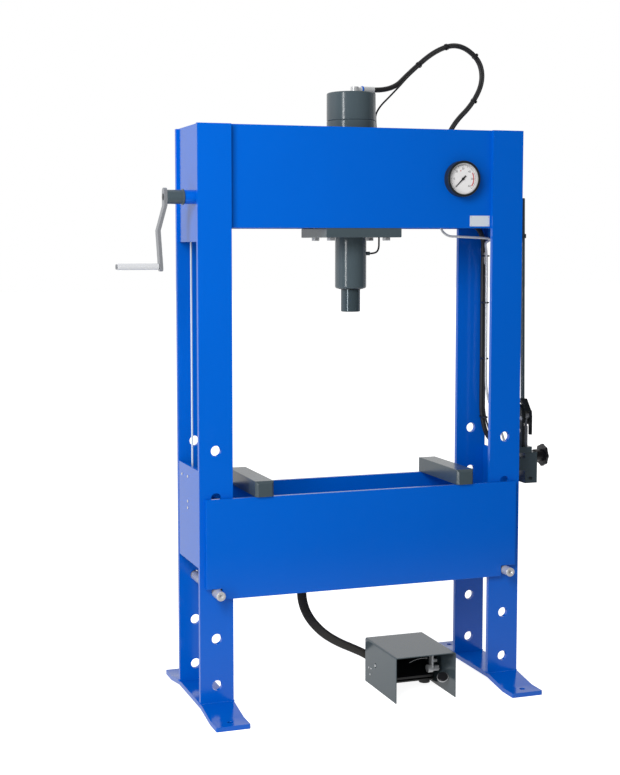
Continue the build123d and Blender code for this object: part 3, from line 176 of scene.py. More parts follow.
# ------------------------------------------------------------------ finishes
@dataclass(frozen=True)
class Finish:
    """A surface finish: one shader with cloudy colour, scuffs and a fine relief."""

    name: str
    slot: str
    colour: Point
    roughness: float = 0.4
    metallic: float = 0.0
    variation: float = 0.05
    cloud_scale: float = 5.0
    scuffs: float = 0.06
    relief: float = 0.1
    grain: float = 420.0
    stretch: Point = (1.0, 1.0, 1.0)
    surface: str = "Object"

    def build(self, worn_and_highlit: bool = False) -> bpy.types.Material:
        """Make the material.

        Args:
            worn_and_highlit: Whether it is the finish of the broken edges, lighter and a little rougher
                there: partly wear and partly a painted highlight along the edges.

        Returns:
            The finished node material.
        """
        # Edge finish: the colour is pulled towards pale grey and the roughness raised, partly as wear and
        # partly as a painted highlight on the broken edges.
        edge_wear_and_highlight = 0.1 if worn_and_highlit else 0.0
        colour = [c * (1 - edge_wear_and_highlight) + edge_wear_and_highlight * 0.55 for c in self.colour]
        rough = min(1.0, self.roughness + edge_wear_and_highlight / 2)
        material = bpy.data.materials.new(self.name + ("_edge" if worn_and_highlit else ""))
        graph = Graph(material)
        shader = graph.nodes["Principled BSDF"]
        graph.set(shader, {"Metallic": self.metallic})
        where = graph.add("ShaderNodeTexCoord")
        cloud = graph.add("ShaderNodeTexNoise", {"Scale": self.cloud_scale, "Detail": 4.0})
        graph.join(where, "Object", cloud, "Vector")
        deep = [c * (1 - self.variation) for c in colour]
        pale = [min(1.0, c * (1 + self.variation)) for c in colour]
        tint = graph.add("ShaderNodeMix", {"A": (*deep, 1.0), "B": (*pale, 1.0)}, data_type="RGBA")
        graph.join(cloud, "Fac", tint, "Factor")
        scuff = graph.add("ShaderNodeTexNoise", {"Scale": 26.0, "Detail": 9.0, "Roughness": 0.7})
        graph.join(where, "Object", scuff, "Vector")
        spots = graph.add("ShaderNodeMapRange", {"From Min": 0.6, "From Max": 0.72, "To Max": self.scuffs})
        graph.join(scuff, "Fac", spots, "Value")
        rubbed = graph.add("ShaderNodeMix", {"B": (*[c * 0.8 + 0.06 for c in colour], 1.0)}, data_type="RGBA")
        graph.join(spots, "Result", rubbed, "Factor")
        graph.join(tint, "Result", rubbed, "A")
        graph.join(rubbed, "Result", shader, "Base Color")
        sheen = graph.add(
            "ShaderNodeMapRange", {"To Min": max(0.02, rough - 0.03), "To Max": min(1.0, rough + 0.03)}
        )
        graph.join(scuff, "Fac", sheen, "Value")
        graph.join(sheen, "Result", shader, "Roughness")
        if self.relief:
            turn = graph.add("ShaderNodeMapping", {"Scale": self.stretch})
            graph.join(where, self.surface, turn, "Vector")
            if self.surface == "UV":
                graph.set(turn, {"Rotation": (0.0, 0.0, math.radians(45))})
                grain = graph.add("ShaderNodeTexChecker")
            else:
                grain = graph.add("ShaderNodeTexNoise", {"Detail": 2.0})
            graph.set(grain, {"Scale": self.grain})
            graph.join(turn, "Vector", grain, "Vector")
            relief = graph.add("ShaderNodeBump", {"Strength": self.relief, "Distance": 0.0004})
            graph.join(grain, "Fac", relief, "Height")
            graph.join(relief, "Normal", shader, "Normal")
        return material


class Look(Enum):
    """The finishes of the press."""

    BLUE = Finish("blue_enamel", "blue_paint", (0.0, 0.108, 0.56), 0.14, variation=0.03, scuffs=0.02)
    SLATE = Finish("slate_enamel", "slate_paint", (0.06, 0.082, 0.094), 0.17, relief=0.06)
    GREY = Finish("block_steel", "grey_paint", (0.056, 0.078, 0.09), 0.22, scuffs=0.1)
    RAM = Finish("oiled_steel", "machined_steel", (0.055, 0.078, 0.09), 0.14, 0.3, stretch=(1, 1, 0.05))
    DARK = Finish("dark_steel", "dark_steel", (0.022, 0.027, 0.03), 0.35, 0.2, scuffs=0.15)
    ZINC = Finish("zinc_plate", "zinc_plate", (0.66, 0.67, 0.68), 0.25, 0.35, cloud_scale=60.0)
    PISTON = Finish("ground_steel", "machined_steel", (0.3, 0.31, 0.33), 0.2, 0.35, stretch=(1, 1, 0.05))
    STEEL = Finish("machined_steel", "machined_steel", (0.6, 0.6, 0.61), 0.28, 0.35, stretch=(1, 1, 0.1))
    CRANK = Finish("crank_steel", "dark_steel", (0.3, 0.31, 0.33), 0.4, 0.4, scuffs=0.2)
    GRIP = Finish("bright_grip", "black_plastic", (0.66, 0.67, 0.69), 0.2, 0.2, scuffs=0.2)
    ROPE = Finish("steel_rope", "zinc_plate", (0.62, 0.7, 0.8), 0.4, 0.2, grain=160.0, relief=0.5)
    RUBBER = Finish("hose_rubber", "black_rubber", (0.02, 0.02, 0.021), 0.42, grain=900.0)
    BRAID = Finish(
        "braided_sleeve", "braided_sleeve", (0.02, 0.018, 0.016), 0.6, relief=0.7, grain=9.0, surface="UV"
    )
    BLACK = Finish("black_plastic", "black_plastic", (0.012, 0.012, 0.014), 0.35)
    DIAL = Finish("dial_white", "dial_white", (0.8, 0.79, 0.79), 0.5, variation=0.01, scuffs=0.0, relief=0.0)
    RED = Finish("dial_red", "dial_white", (0.55, 0.05, 0.05), 0.5, relief=0.0, scuffs=0.0)
    INK = Finish("dial_ink", "dial_white", (0.02, 0.02, 0.022), 0.5, relief=0.0, scuffs=0.0)
    LABEL = Finish("bare_plate", "zinc_plate", (0.6, 0.65, 0.7), 0.35, 0.0, relief=0.05)


class Workshop:
    """Shared tools: the loaded part, its finishes and the ways to make a piece."""

    def __init__(self) -> None:
        """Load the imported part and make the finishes."""
        self.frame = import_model()
        self.materials = {look: look.value.build() for look in Look}
        # The edge finishes carry wear and a painted highlight for the bright lines along the broken edges.
        self.edges = {look: look.value.build(worn_and_highlit=True) for look in Look}
        self.count = 0

    # -------------------------------------------------- choosing and editing
    def only(self, piece: bpy.types.Object) -> None:
        """Select one piece alone and make it active."""
        bpy.ops.object.select_all(action="DESELECT")
        piece.select_set(True)
        bpy.context.view_layer.objects.active = piece

    def pick(self, piece: bpy.types.Object, test: FaceTest) -> None:
        """Enter edit mode with only some faces selected.

        Args:
            piece: The piece to edit.
            test: Tells from a face's centre and normal whether it is wanted.
        """
        self.only(piece)
        bpy.ops.object.mode_set(mode="EDIT")
        bpy.ops.mesh.select_mode(type="FACE")
        bpy.ops.mesh.select_all(action="DESELECT")
        bpy.ops.object.mode_set(mode="OBJECT")
        for face in piece.data.polygons:
            face.select = test(face.center, face.normal)
        bpy.ops.object.mode_set(mode="EDIT")

    def done(self) -> None:
        """Leave edit mode."""
        bpy.ops.object.mode_set(mode="OBJECT")

    def started(self, name: str) -> bpy.types.Object:
        """Name the primitive just added and put its place in its mesh.

        Args:
            name: The name of the piece.

        Returns:
            The new piece.
        """
        piece = bpy.context.active_object
        piece.name = piece.data.name = name
        bpy.ops.object.transform_apply(location=True, rotation=True, scale=True)
        return piece

    def round_bar(
        self, name: str, radius: float, length: float, sides: int = 32, open_ends: bool = False
    ) -> bpy.types.Object:
        """Start a round piece that stands on the origin.

        Args:
            name: The name of the piece.
            radius: Its radius.
            length: Its length along +Z.
            sides: How many sides it has.
            open_ends: Whether its ends are left open.

        Returns:
            The new piece.
        """
        bpy.ops.object.select_all(action="DESELECT")
        bpy.ops.mesh.primitive_cylinder_add(
            vertices=sides,
            radius=radius,
            depth=length,
            end_fill_type="NOTHING" if open_ends else "NGON",
            location=(0, 0, length / 2),
        )
        return self.started(name)

    def slab(self, name: str, low: Point, high: Point) -> bpy.types.Object:
        """Start a block from its lowest to its highest corner.

        Args:
            name: The name of the piece.
            low: The lowest corner.
            high: The highest corner.

        Returns:
            The new piece.
        """
        bpy.ops.object.select_all(action="DESELECT")
        middle = [(a + b) / 2 for a, b in zip(low, high)]
        bpy.ops.mesh.primitive_cube_add(size=1.0, location=middle)
        bpy.ops.transform.resize(value=[b - a for a, b in zip(low, high)])
        return self.started(name)

    def pull(self, piece: bpy.types.Object, test: FaceTest, move: Point) -> None:
        """Extrude some faces by a move."""
        self.pick(piece, test)
        bpy.ops.mesh.extrude_region_move(TRANSFORM_OT_translate={"value": move})
        self.done()

    def inset(self, piece: bpy.types.Object, test: FaceTest, edge: float, depth: float) -> None:
        """Inset some faces and raise or sink them.

        Args:
            piece: The piece to edit.
            test: Tells which faces are wanted.
            edge: How far in they go.
            depth: How far out they go.
        """
        self.pick(piece, test)
        bpy.ops.mesh.inset(thickness=edge, depth=depth)
        self.done()

    def modify(self, piece: bpy.types.Object, kind: str, **settings: object) -> None:
        """Put a modifier on the active piece and apply it.

        Args:
            piece: The active piece.
            kind: The modifier's type.
            settings: Its settings by name.
        """
        change = piece.modifiers.new(kind, kind)
        for name, value in settings.items():
            setattr(change, name, value)
        bpy.ops.object.modifier_apply(modifier=change.name)

    def eased(self, piece: bpy.types.Object, width: float, segments: int = 2, angle: float = 35.0) -> None:
        """Break the sharp edges of a piece and shade it.

        Args:
            piece: The piece.
            width: How wide its edges are broken.
            segments: How many faces a broken edge has.
            angle: The sharpest angle in degrees that is left alone.
        """
        self.only(piece)
        limit = math.radians(angle)
        cut = {"width": width, "segments": segments, "limit_method": "ANGLE", "angle_limit": limit}
        # The bevel faces take slot 1, the edge finish with wear and a painted highlight.
        self.modify(piece, "BEVEL", material=1, **cut)
        bpy.ops.object.shade_smooth_by_angle(angle=SMOOTH_ANGLE)
        self.modify(piece, "WEIGHTED_NORMAL", keep_sharp=True)

    def copies(self, master: bpy.types.Object, name: str, places: list[Matrix]) -> bpy.types.Object:
        """Set copies of a small part at several places, as one piece.

        Args:
            master: The part, modelled at the origin, which is used up.
            name: The name of the piece.
            places: Where each copy goes.

        Returns:
            The joined piece.
        """
        made = []
        for place in places:
            copy = placed(name, master.data.copy())
            copy.data.transform(place)
            made.append(copy)
        bpy.data.objects.remove(master)
        return self.joined(name, made)

    def joined(self, name: str, parts: list[bpy.types.Object]) -> bpy.types.Object:
        """Join parts into one piece.

        Args:
            name: The name of the piece.
            parts: The parts to join.

        Returns:
            The joined piece.
        """
        self.only(parts[0])
        for part in parts:
            part.select_set(True)
        if len(parts) > 1:
            bpy.ops.object.join()
        parts[0].name = parts[0].data.name = name
        return parts[0]

    # -------------------------------------------------- dressing
    def coat(self, piece: bpy.types.Object, *looks: Look) -> None:
        """Give a piece its materials: the first look, its edge finish with wear and a painted highlight, then
        any further looks.
        """
        piece.data.materials.clear()
        piece.data.materials.append(self.materials[looks[0]])
        piece.data.materials.append(self.edges[looks[0]])
        for look in looks[1:]:
            piece.data.materials.append(self.materials[look])

    def finish(self, piece: bpy.types.Object, body: Body, *looks: Look) -> bpy.types.Object:
        """Give a piece its finish and the body that it rides on.

        Args:
            piece: The finished piece.
            body: The body that carries it.
            looks: Its finish, and any further ones that its faces already name.

        Returns:
            The same piece.
        """
        self.coat(piece, *looks)
        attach(piece, body.value)
        self.count += 1
        LOG.info("made %s", piece.name)
        return piece

    def spread(
        self, master: bpy.types.Object, name: str, places: list[Matrix], body: Body, look: Look
    ) -> None:
        """Set copies of a small part at several places and finish them as one piece.

        Args:
            master: The part, modelled at the origin, which is used up.
            name: The name of the piece.
            places: Where each copy goes.
            body: The body that carries it.
            look: Its finish.
        """
        self.finish(self.copies(master, name, places), body, look)

    def softened(
        self, node: str, look: Look, body: Body, width: float, inside: Look | None = None
    ) -> bpy.types.Object:
        """Copy a solid of the part with its sharp edges broken.

        Args:
            node: The solid's node.
            look: Its finish.
            body: The body that carries it.
            width: How wide its edges are broken.
            inside: The black painted on its inner faces as painted shade for the shadow inside it, if it gets
                one.

        Returns:
            The piece, which stands for the node.
        """
        mesh = self.frame["nodes"][node].data.copy()
        piece = placed(f"{node}_body", mesh)
        mesh.materials.clear()
        mesh.materials.append(self.materials[look])
        mesh.materials.append(self.edges[look])
        for face in mesh.polygons:
            face.material_index = 0
        self.only(piece)
        bpy.ops.object.mode_set(mode="EDIT")
        bpy.ops.mesh.select_all(action="SELECT")
        bpy.ops.mesh.remove_doubles(threshold=WELD_GAP)
        bpy.ops.mesh.dissolve_limited(angle_limit=FLAT_ANGLE)
        bpy.ops.object.mode_set(mode="OBJECT")
        self.eased(piece, width)
        looks = [look]
        # Inner faces are painted black: painted shade, standing for the shadow inside the piece.
        if inside:
            looks.append(inside)
            low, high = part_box(node)
            mesh.materials.append(self.materials[inside])
            for face in mesh.polygons:
                middle = face.center
                if low[0] + 0.002 < middle.x < high[0] - 0.002 and middle.z < high[2] - 0.002:
                    face.material_index = 2
        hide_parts(node)
        return self.finish(piece, body, *looks)


def facing(place: Point, direction: Point) -> Matrix:
    """Make the placement that stands a part on a surface.

    Args:
        place: Where the part's origin goes.
        direction: Which way its +Z goes.

    Returns:
        The placement.
    """
    turn = Vector(direction).to_track_quat("Z", "Y").to_matrix().to_4x4()
    return Matrix.Translation(place) @ turn


def anything(middle: Vector, normal: Vector) -> bool:
    """Accept every face."""
    return True


def upper(middle: Vector, normal: Vector) -> bool:
    """Accept the faces that look up."""
    return normal.z > SQUARE_ON


@dataclass
class Fasteners:
    """Small parts that are modelled once and copied."""

    shop: Workshop

    def pan_screw(self, radius: float) -> bpy.types.Object:
        """Model a domed screw head with a driver recess.

        Args:
            radius: The radius of the head.

        Returns:
            The screw head, standing on the origin.
        """
        shop = self.shop
        head = shop.round_bar("screw_head", radius, radius * 0.45, 20)
        shop.inset(head, upper, radius * 0.3, radius * 0.16)
        shop.inset(head, upper, radius * 0.28, radius * 0.03)
        shop.pull(head, upper, (0, 0, -radius * 0.3))
        shop.eased(head, radius * 0.06, 1, 50)
        return head

    def hex_bolt(self, radius: float) -> bpy.types.Object:
        """Model a hexagon bolt head on its washer.

        Args:
            radius: Half the distance across its corners.

        Returns:
            The bolt head, standing on the origin.
        """
        shop = self.shop
        washer = shop.round_bar("washer", radius * 1.25, radius * 0.22, 28)
        shop.inset(washer, upper, radius * 0.1, radius * 0.04)
        head = shop.round_bar("head", radius, radius * 0.75, 6)
        shop.inset(head, upper, radius * 0.12, radius * 0.08)
        shop.inset(head, upper, radius * 0.1, -radius * 0.03)
        for part, lift in ((head, radius * 0.2), (washer, 0.0)):
            part.data.transform(Matrix.Translation((0, 0, lift)))
        bolt = shop.joined("hex_bolt", [head, washer])
        shop.eased(bolt, radius * 0.05, 1, 50)
        return bolt

    def weld_drop(self, radius: float) -> bpy.types.Object:
        """Model one ripple of a weld bead.

        Args:
            radius: The radius of the bead.

        Returns:
            The ripple, lying at the origin along +X.
        """
        shop = self.shop
        bpy.ops.object.select_all(action="DESELECT")
        bpy.ops.mesh.primitive_uv_sphere_add(segments=10, ring_count=6, radius=radius)
        drop = shop.started("weld_drop")
        shop.pick(drop, anything)
        bpy.ops.transform.resize(value=(0.75, 1.0, 0.9))
        shop.done()
        bpy.ops.object.shade_smooth()
        return drop

    def tie(self, across: float, deep: float, width: float = 5 * MM) -> bpy.types.Object:
        """Model a cable tie: an oval strap with its square lock.

        Args:
            across: Half its inner size along X.
            deep: Half its inner size along Y.
            width: How wide the strap is.

        Returns:
            The tie, around the Z axis.
        """
        shop = self.shop
        strap = shop.round_bar("tie", 1.0, width, 28, open_ends=True)
        shop.pick(strap, anything)
        bpy.ops.transform.resize(value=(across, deep, 1.0))
        shop.done()
        strap.data.transform(Matrix.Translation((0, 0, -width / 2)))
        shop.only(strap)
        shop.modify(strap, "SOLIDIFY", thickness=1.4 * MM, offset=1.0)
        lock = shop.slab("lock", (-3.2 * MM, deep, -3.4 * MM), (3.2 * MM, deep + 4 * MM, 3.4 * MM))
        shop.inset(lock, lambda m, n: n.y > SQUARE_ON, 1 * MM, 0.6 * MM)
        tie = shop.joined("tie", [strap, lock])
        shop.eased(tie, 0.4 * MM, 1, 50)
        return tie


# ------------------------------------------------------------------ hoses
@dataclass
class Route:
    """A smooth line through the air, given by the control points of its spline in millimetres."""

    name: str
    points: tuple[Point, ...]
    diameter: float

    def curve(self, bevel: bool) -> bpy.types.Object:
        """Make the spline.

        Args:
            bevel: Whether it gets its thickness.

        Returns:
            A curve object.
        """
        data = bpy.data.curves.new(self.name, "CURVE")
        data.dimensions = "3D"
        data.resolution_u = 12
        spline = data.splines.new("NURBS")
        spline.points.add(len(self.points) - 1)
        for control, place in zip(spline.points, self.points):
            control.co = (*(c * MM for c in place), 1.0)
        spline.order_u = 3
        spline.use_endpoint_u = True
        if bevel:
            data.bevel_depth = self.diameter / 2
            data.bevel_resolution = 5
            data.use_fill_caps = True
        return placed(self.name, data)

    def centreline(self) -> list[Vector]:
        """Read the smooth line.

        Returns:
            Points along the spline, in metres.
        """
        guide = self.curve(bevel=False)
        mesh = bpy.data.meshes.new_from_object(guide)
        line = [v.co.copy() for v in mesh.vertices]
        bpy.data.objects.remove(guide)
        bpy.data.meshes.remove(mesh)
        return line

    def tube(self) -> bpy.types.Object:
        """Make the round hose as a mesh.

        Returns:
            A mesh object.
        """
        guide = self.curve(bevel=True)
        mesh = bpy.data.meshes.new_from_object(guide)
        bpy.data.objects.remove(guide)
        mesh.name = self.name
        mesh.shade_smooth()
        return placed(self.name, mesh)

    def nearest(self, spot: Point) -> tuple[Vector, Vector]:
        """Find the place and direction of the line nearest to a spot.

        Args:
            spot: The spot, in millimetres.

        Returns:
            The point on the line and the line's direction there.
        """
        line = self.centreline()
        goal = Vector(spot) * MM
        i = min(range(1, len(line) - 1), key=lambda k: (line[k] - goal).length)
        return line[i], (line[i + 1] - line[i - 1]).normalized()

    def band(self, width: float, thick: float, facings: list[Vector]) -> bpy.types.Object:
        """Make a flattened sleeve that turns along the line.

        Args:
            width: The sleeve's width.
            thick: Its thickness.
            facings: Directions that its broad side faces, evenly spread along the line.

        Returns:
            A mesh object, with its length and girth as a UV map.
        """
        line = self.centreline()
        ring = 20
        vertices: list[Vector] = []
        for i, here in enumerate(line):
            along = (line[min(i + 1, len(line) - 1)] - line[max(i - 1, 0)]).normalized()
            spot = i / (len(line) - 1) * (len(facings) - 1)
            first = min(int(spot), len(facings) - 2)
            broad = facings[first].lerp(facings[first + 1], spot - first)
            broad = (broad - along * broad.dot(along)).normalized()
            across = along.cross(broad).normalized()
            for k in range(ring):
                a = 2 * math.pi * k / ring
                u = math.copysign(abs(math.cos(a)) ** 0.7, math.cos(a)) * width / 2
                v = math.copysign(abs(math.sin(a)) ** 0.7, math.sin(a)) * thick / 2
                vertices.append(here + across * u + broad * v)
        faces = []
        corners_uv = []
        length = 0.0
        for i in range(len(line) - 1):
            step = (line[i + 1] - line[i]).length
            low, high = length / width, (length + step) / width
            for k in range(ring):
                n = (k + 1) % ring
                faces.append((i * ring + k, i * ring + n, (i + 1) * ring + n, (i + 1) * ring + k))
                left, right = k / ring * 2, (k + 1) / ring * 2
                corners_uv += [(left, low), (right, low), (right, high), (left, high)]
            length += step
        faces.append(tuple(reversed(range(ring))))
        faces.append(tuple(range(len(vertices) - ring, len(vertices))))
        corners_uv += [(0.0, 0.0)] * (2 * ring)
        mesh = bpy.data.meshes.new(self.name)
        mesh.from_pydata([tuple(v) for v in vertices], [], faces)
        layer = mesh.uv_layers.new(name="sleeve")
        for corner, spot in zip(layer.data, corners_uv):
            corner.uv = spot
        mesh.shade_smooth()
        return placed(self.name, mesh)


@dataclass
class Hoses:
    """The hydraulic hoses, their ties and collars."""

    shop: Workshop
    fasteners: Fasteners
    hose: float = 17 * MM
    thin: float = 6 * MM
    line_gap: float = 13.5
    bend_start: Point = (0.37, 0.0, 1.96)
    bend_end: Point = (0.35, 0.05, 1.73)
    loop_points: tuple[Point, ...] = (
        (80, 0, 1985), (145, 0, 1985), (210, 0, 2048), (300, 0, 2122), (385, 0, 2148),
        (462, 0, 2100), (478, 0, 2025), (440, 4, 1948), (378, 18, 1885), (350, 40, 1805),
        (350, 52, 1725),
    )
    vent_points: tuple[Point, ...] = (
        (62, -12, 1451), (84, -12, 1451), (102, 4, 1466), (105, 10, 1491), (104.5, 10, 1600),
        (100, 10, 1780), (89, 6, 1872), (86, 0, 1918), (150, -13.5, 1982), (210, -13.5, 2046),
    )
    vent_split: Point = (255, -13.5, 2084)
    together: int = 3
    pedal_points: tuple[Point, ...] = (
        (656, 33, 684), (656, 80, 684), (644, 136, 680), (604, 181, 662), (540, 205, 630),
        (450, 210, 594), (350, 206, 558), (240, 202, 527), (130, 202, 498), (30, 204, 462),
        (-50, 198, 412), (-98, 188, 342), (-112, 172, 268), (-97, 150, 205), (-57, 118, 153),
        (-8, 92, 121), (44, 76, 98), (88, 68, 76), (118, 62, 53), (130, 50, 42),
        (130, 36, 42),
    )
    tie_spots: tuple[Point, ...] = (
        (241, 0, 2070.6),
        (334.9, 0, 2135),
        (446, 0, 2110),
        (440, 4, 1965),
        (355, 30, 1860),
    )
    tie_offset: float = 0.0042
    sleeve_width: float = 33 * MM
    sleeve_thickness: float = 13 * MM
    sleeve_facings: tuple[Point, ...] = ((0, 1, 0), (0.1, 1, 0.2), (0.35, 0.93, 0.3), (0.35, 0.8, 0.6))
    column: tuple[float, float] = (0.5415, 0.0935)
    column_ties: tuple[float, ...] = (1.440, 1.278, 1.083, 0.877)
    hose_end: tuple[Point, Point] = ((0.540, 0.104, 1.468), (0.1, 0.09, -1))
    thin_end: tuple[Point, Point] = ((0.5415, 0.0915, 1.452), (0.05, 0.05, -1))
    thin_share: float = 0.55
    collar_place: Point = (0.036, 0, 1.985)

    def bend(self, piece: bpy.types.Object, *looks: Look) -> None:
        """Dress a piece of the bundle over the head, leaving it on no body with its place baked into its
        mesh.

        Args:
            piece: The piece.
            looks: Its finish.
        """
        self.shop.coat(piece, *looks)
        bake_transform(piece)
        LOG.info("made %s", piece.name)

    def bundle(self) -> None:
        """Make the main hose over the head with the thin line tied to it."""
        loop = Route("hose_loop_tube", self.loop_points, self.hose)
        piece = loop.tube()
        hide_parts("hose_loop")
        self.bend(piece, Look.RUBBER)
        low = Route("vent_line_low", (*self.vent_points, self.vent_split), self.thin).tube()
        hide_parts("vent_line")
        self.shop.finish(low, Body.CARRIAGE, Look.RUBBER)
        beside = [(x, y - self.line_gap, z) for x, y, z in self.loop_points[self.together :]]
        high = Route("vent_line_high", (self.vent_split, *beside), self.thin).tube()
        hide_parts("vent_line")
        self.bend(high, Look.RUBBER)
        places = []
        for spot in self.tie_spots:
            middle, along = loop.nearest(spot)
            side = Vector((0, 1, 0))
            out = along.cross(side).normalized()
            side = out.cross(along).normalized()
            centre = middle - side * self.tie_offset
            turn = Matrix((out, side, along)).transposed().to_4x4()
            places.append(Matrix.Translation(centre) @ turn)
        ties = self.shop.copies(self.fasteners.tie(9.4 * MM, 13.6 * MM, 6 * MM), "loop_ties", places)
        self.bend(ties, Look.BLACK)

    def pedal(self) -> None:
        """Make the braided sleeve that runs from the pump to the foot pedal."""
        route = Route("pedal_hose_sleeve", self.pedal_points, self.sleeve_width)
        piece = route.band(self.sleeve_width, self.sleeve_thickness, [Vector(f) for f in self.sleeve_facings])
        line = route.centreline()
        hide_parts("pedal_hose")
        self.shop.finish(piece, Body.FRAME, Look.BRAID)

    def column_fittings(self) -> None:
        """Tie the hoses of the right column and press their ferrules on."""
        shop = self.shop
        places = [Matrix.Translation((*self.column, z)) for z in self.column_ties]
        shop.spread(self.fasteners.tie(9.4 * MM, 23 * MM), "column_ties", places, Body.FRAME, Look.BLACK)
        ferrule = shop.round_bar("ferrule", 10 * MM, 34 * MM, 28)
        shop.inset(ferrule, upper, 1.6 * MM, 0.0)
        shop.pull(ferrule, upper, (0, 0, 6 * MM))
        shop.eased(ferrule, 0.8 * MM)
        thinner = Matrix.Diagonal((self.thin_share, self.thin_share, 1, 1))
        places = [facing(*self.hose_end), facing(*self.thin_end) @ thinner]
        shop.spread(ferrule, "hose_ferrules", places, Body.FRAME, Look.ZINC)

    def collar(self) -> None:
        """Put the blue collar of the hose fitting on the cylinder's cap."""
        shop = self.shop
        ring = shop.round_bar("fitting_collar", 11.4 * MM, 5 * MM, 32)
        shop.inset(ring, upper, 1.2 * MM, 0.8 * MM)
        shop.eased(ring, 0.6 * MM)
        places = [facing(self.collar_place, (1, 0, 0))]
        shop.spread(ring, "fitting_collar", places, Body.CARRIAGE, Look.BLUE)

    def build(self) -> None:
        """Make every hose."""
        self.bundle()
        self.pedal()
        self.column_fittings()
        self.collar()
        pipes = (("column_hose", Look.RUBBER), ("return_hose", Look.RUBBER), ("gauge_pipe", Look.ZINC))
        for node, look in pipes:
            self.shop.softened(node, look, Body.FRAME, 0.1 * MM)


# ------------------------------------------------------------------ solids
@dataclass
class Solids:
    """The solids whose shape is right as it stands: they get broken edges and a finish."""

    shop: Workshop
    plan: tuple[tuple[str, Look, Body, float], ...] = (
        ("legs_left legs_right", Look.BLUE, Body.FRAME, 3.0),
        ("feet", Look.BLUE, Body.FRAME, 1.5),
        ("column_braces", Look.BLUE, Body.FRAME, 1.0),
        ("head_plate_front head_plate_rear", Look.BLUE, Body.FRAME, 1.2),
        ("head_ends head_rails crank_bearing", Look.BLUE, Body.FRAME, 1.0),
        ("winch_gearbox", Look.BLUE, Body.FRAME, 2.0),
        ("bed_crosses bed_ties", Look.BLUE, Body.BED, 1.0),
        ("cylinder_flange", Look.SLATE, Body.CARRIAGE, 1.2),
        ("cylinder_barrel cylinder_cap", Look.SLATE, Body.CARRIAGE, 1.0),
        ("cylinder_nose", Look.SLATE, Body.CARRIAGE, 0.8),
        ("wiper_seal", Look.RUBBER, Body.CARRIAGE, 1.0),
        ("ram", Look.RAM, Body.RAM, 0.8),
        ("carriage_clamps", Look.ZINC, Body.CARRIAGE, 0.8),
        ("hose_fitting", Look.ZINC, Body.CARRIAGE, 0.6),
        ("gauge_case", Look.DARK, Body.FRAME, 0.6),
        ("gauge_bezel", Look.STEEL, Body.FRAME, 0.6),
        ("gauge_dial", Look.DIAL, Body.FRAME, 0.2),
        ("gauge_needle", Look.INK, Body.NEEDLE, 0.1),
        ("crank_shaft", Look.SLATE, Body.CRANK, 0.8),
        ("crank_arm", Look.CRANK, Body.CRANK, 1.2),
        ("crank_grip", Look.GRIP, Body.GRIP, 0.4),
        ("winch_drum", Look.STEEL, Body.DRUM, 0.6),
        ("bed_pulley_left", Look.STEEL, Body.PULLEY_LEFT, 0.6),
        ("bed_pulley_right", Look.STEEL, Body.PULLEY_RIGHT, 0.6),
        ("rope_cross", Look.ROPE, Body.BED, 0.1),
        ("bed_pin_left", Look.STEEL, Body.PIN_LEFT, 0.6),
        ("bed_pin_right", Look.STEEL, Body.PIN_RIGHT, 0.6),
        ("press_block_left", Look.GREY, Body.BLOCK_LEFT, 1.5),
        ("press_block_right", Look.GREY, Body.BLOCK_RIGHT, 1.5),
        ("pump_block", Look.SLATE, Body.FRAME, 1.2),
        ("pump_bracket", Look.DARK, Body.FRAME, 0.8),
        ("pump_ports", Look.ZINC, Body.FRAME, 0.6),
        ("pump_piston", Look.PISTON, Body.PLUNGER, 0.6),
        ("lever_bar", Look.DARK, Body.LEVER, 0.8),
        ("lever_rod", Look.SLATE, Body.LEVER, 0.5),
        ("lever_clip", Look.BLACK, Body.FRAME, 0.5),
        ("release_knob", Look.BLACK, Body.KNOB, 1.2),
        ("pedal_base", Look.BLACK, Body.FRAME, 0.8),
        ("pedal_feet", Look.RUBBER, Body.FRAME, 1.0),
        ("pedal_valve", Look.ZINC, Body.FRAME, 0.8),
        ("treadle", Look.BLACK, Body.TREADLE, 1.0),
    )

    def build(self) -> None:
        """Make every piece of the plan."""
        for nodes, look, body, width in self.plan:
            for node in nodes.split():
                self.shop.softened(node, look, body, width * MM)
        # The guard's inner faces are painted black as painted shade for its shadowed inside.
        self.shop.softened("pedal_guard", Look.SLATE, Body.FRAME, 0.8 * MM, inside=Look.BLACK)
        for node in ("rope_left", "rope_right"):
            solid = self.shop.frame["nodes"][node]
            solid.data.materials.clear()
            solid.data.materials.append(self.shop.materials[Look.ROPE])


@dataclass
class Bed:
    """The two plates of the bed, stepped at their ends where they rest on the pins."""

    shop: Workshop
    edge: float = 1.5 * MM

    def plate(self, row: str) -> None:
        """Make one plate from its strip above the pins, pulled down between them.

        Args:
            row: The front or the rear plate.
        """
        shop = self.shop
        low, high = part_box(f"bed_plate_{row}")
        sill_low, sill_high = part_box("bed_sills")
        plate = shop.slab(f"bed_plate_{row}_body", tuple(low), tuple(high))
        for end in (sill_low[0], sill_high[0]):
            shop.pick(plate, anything)
            bpy.ops.mesh.bisect(plane_co=(end, 0, 0), plane_no=(1, 0, 0))
            shop.done()
        shop.pull(
            plate,
            lambda m, n: n.z < -SQUARE_ON and abs(m.x) < sill_high[0] - 0.01,
            (0, 0, sill_low[2] - low[2]),
        )
        shop.eased(plate, self.edge)
        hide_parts(f"bed_plate_{row}")
        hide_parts("bed_sills")
        shop.finish(plate, Body.BED, Look.BLUE)

    def build(self) -> None:
        """Make both plates."""
        for row in ("front", "rear"):
            self.plate(row)


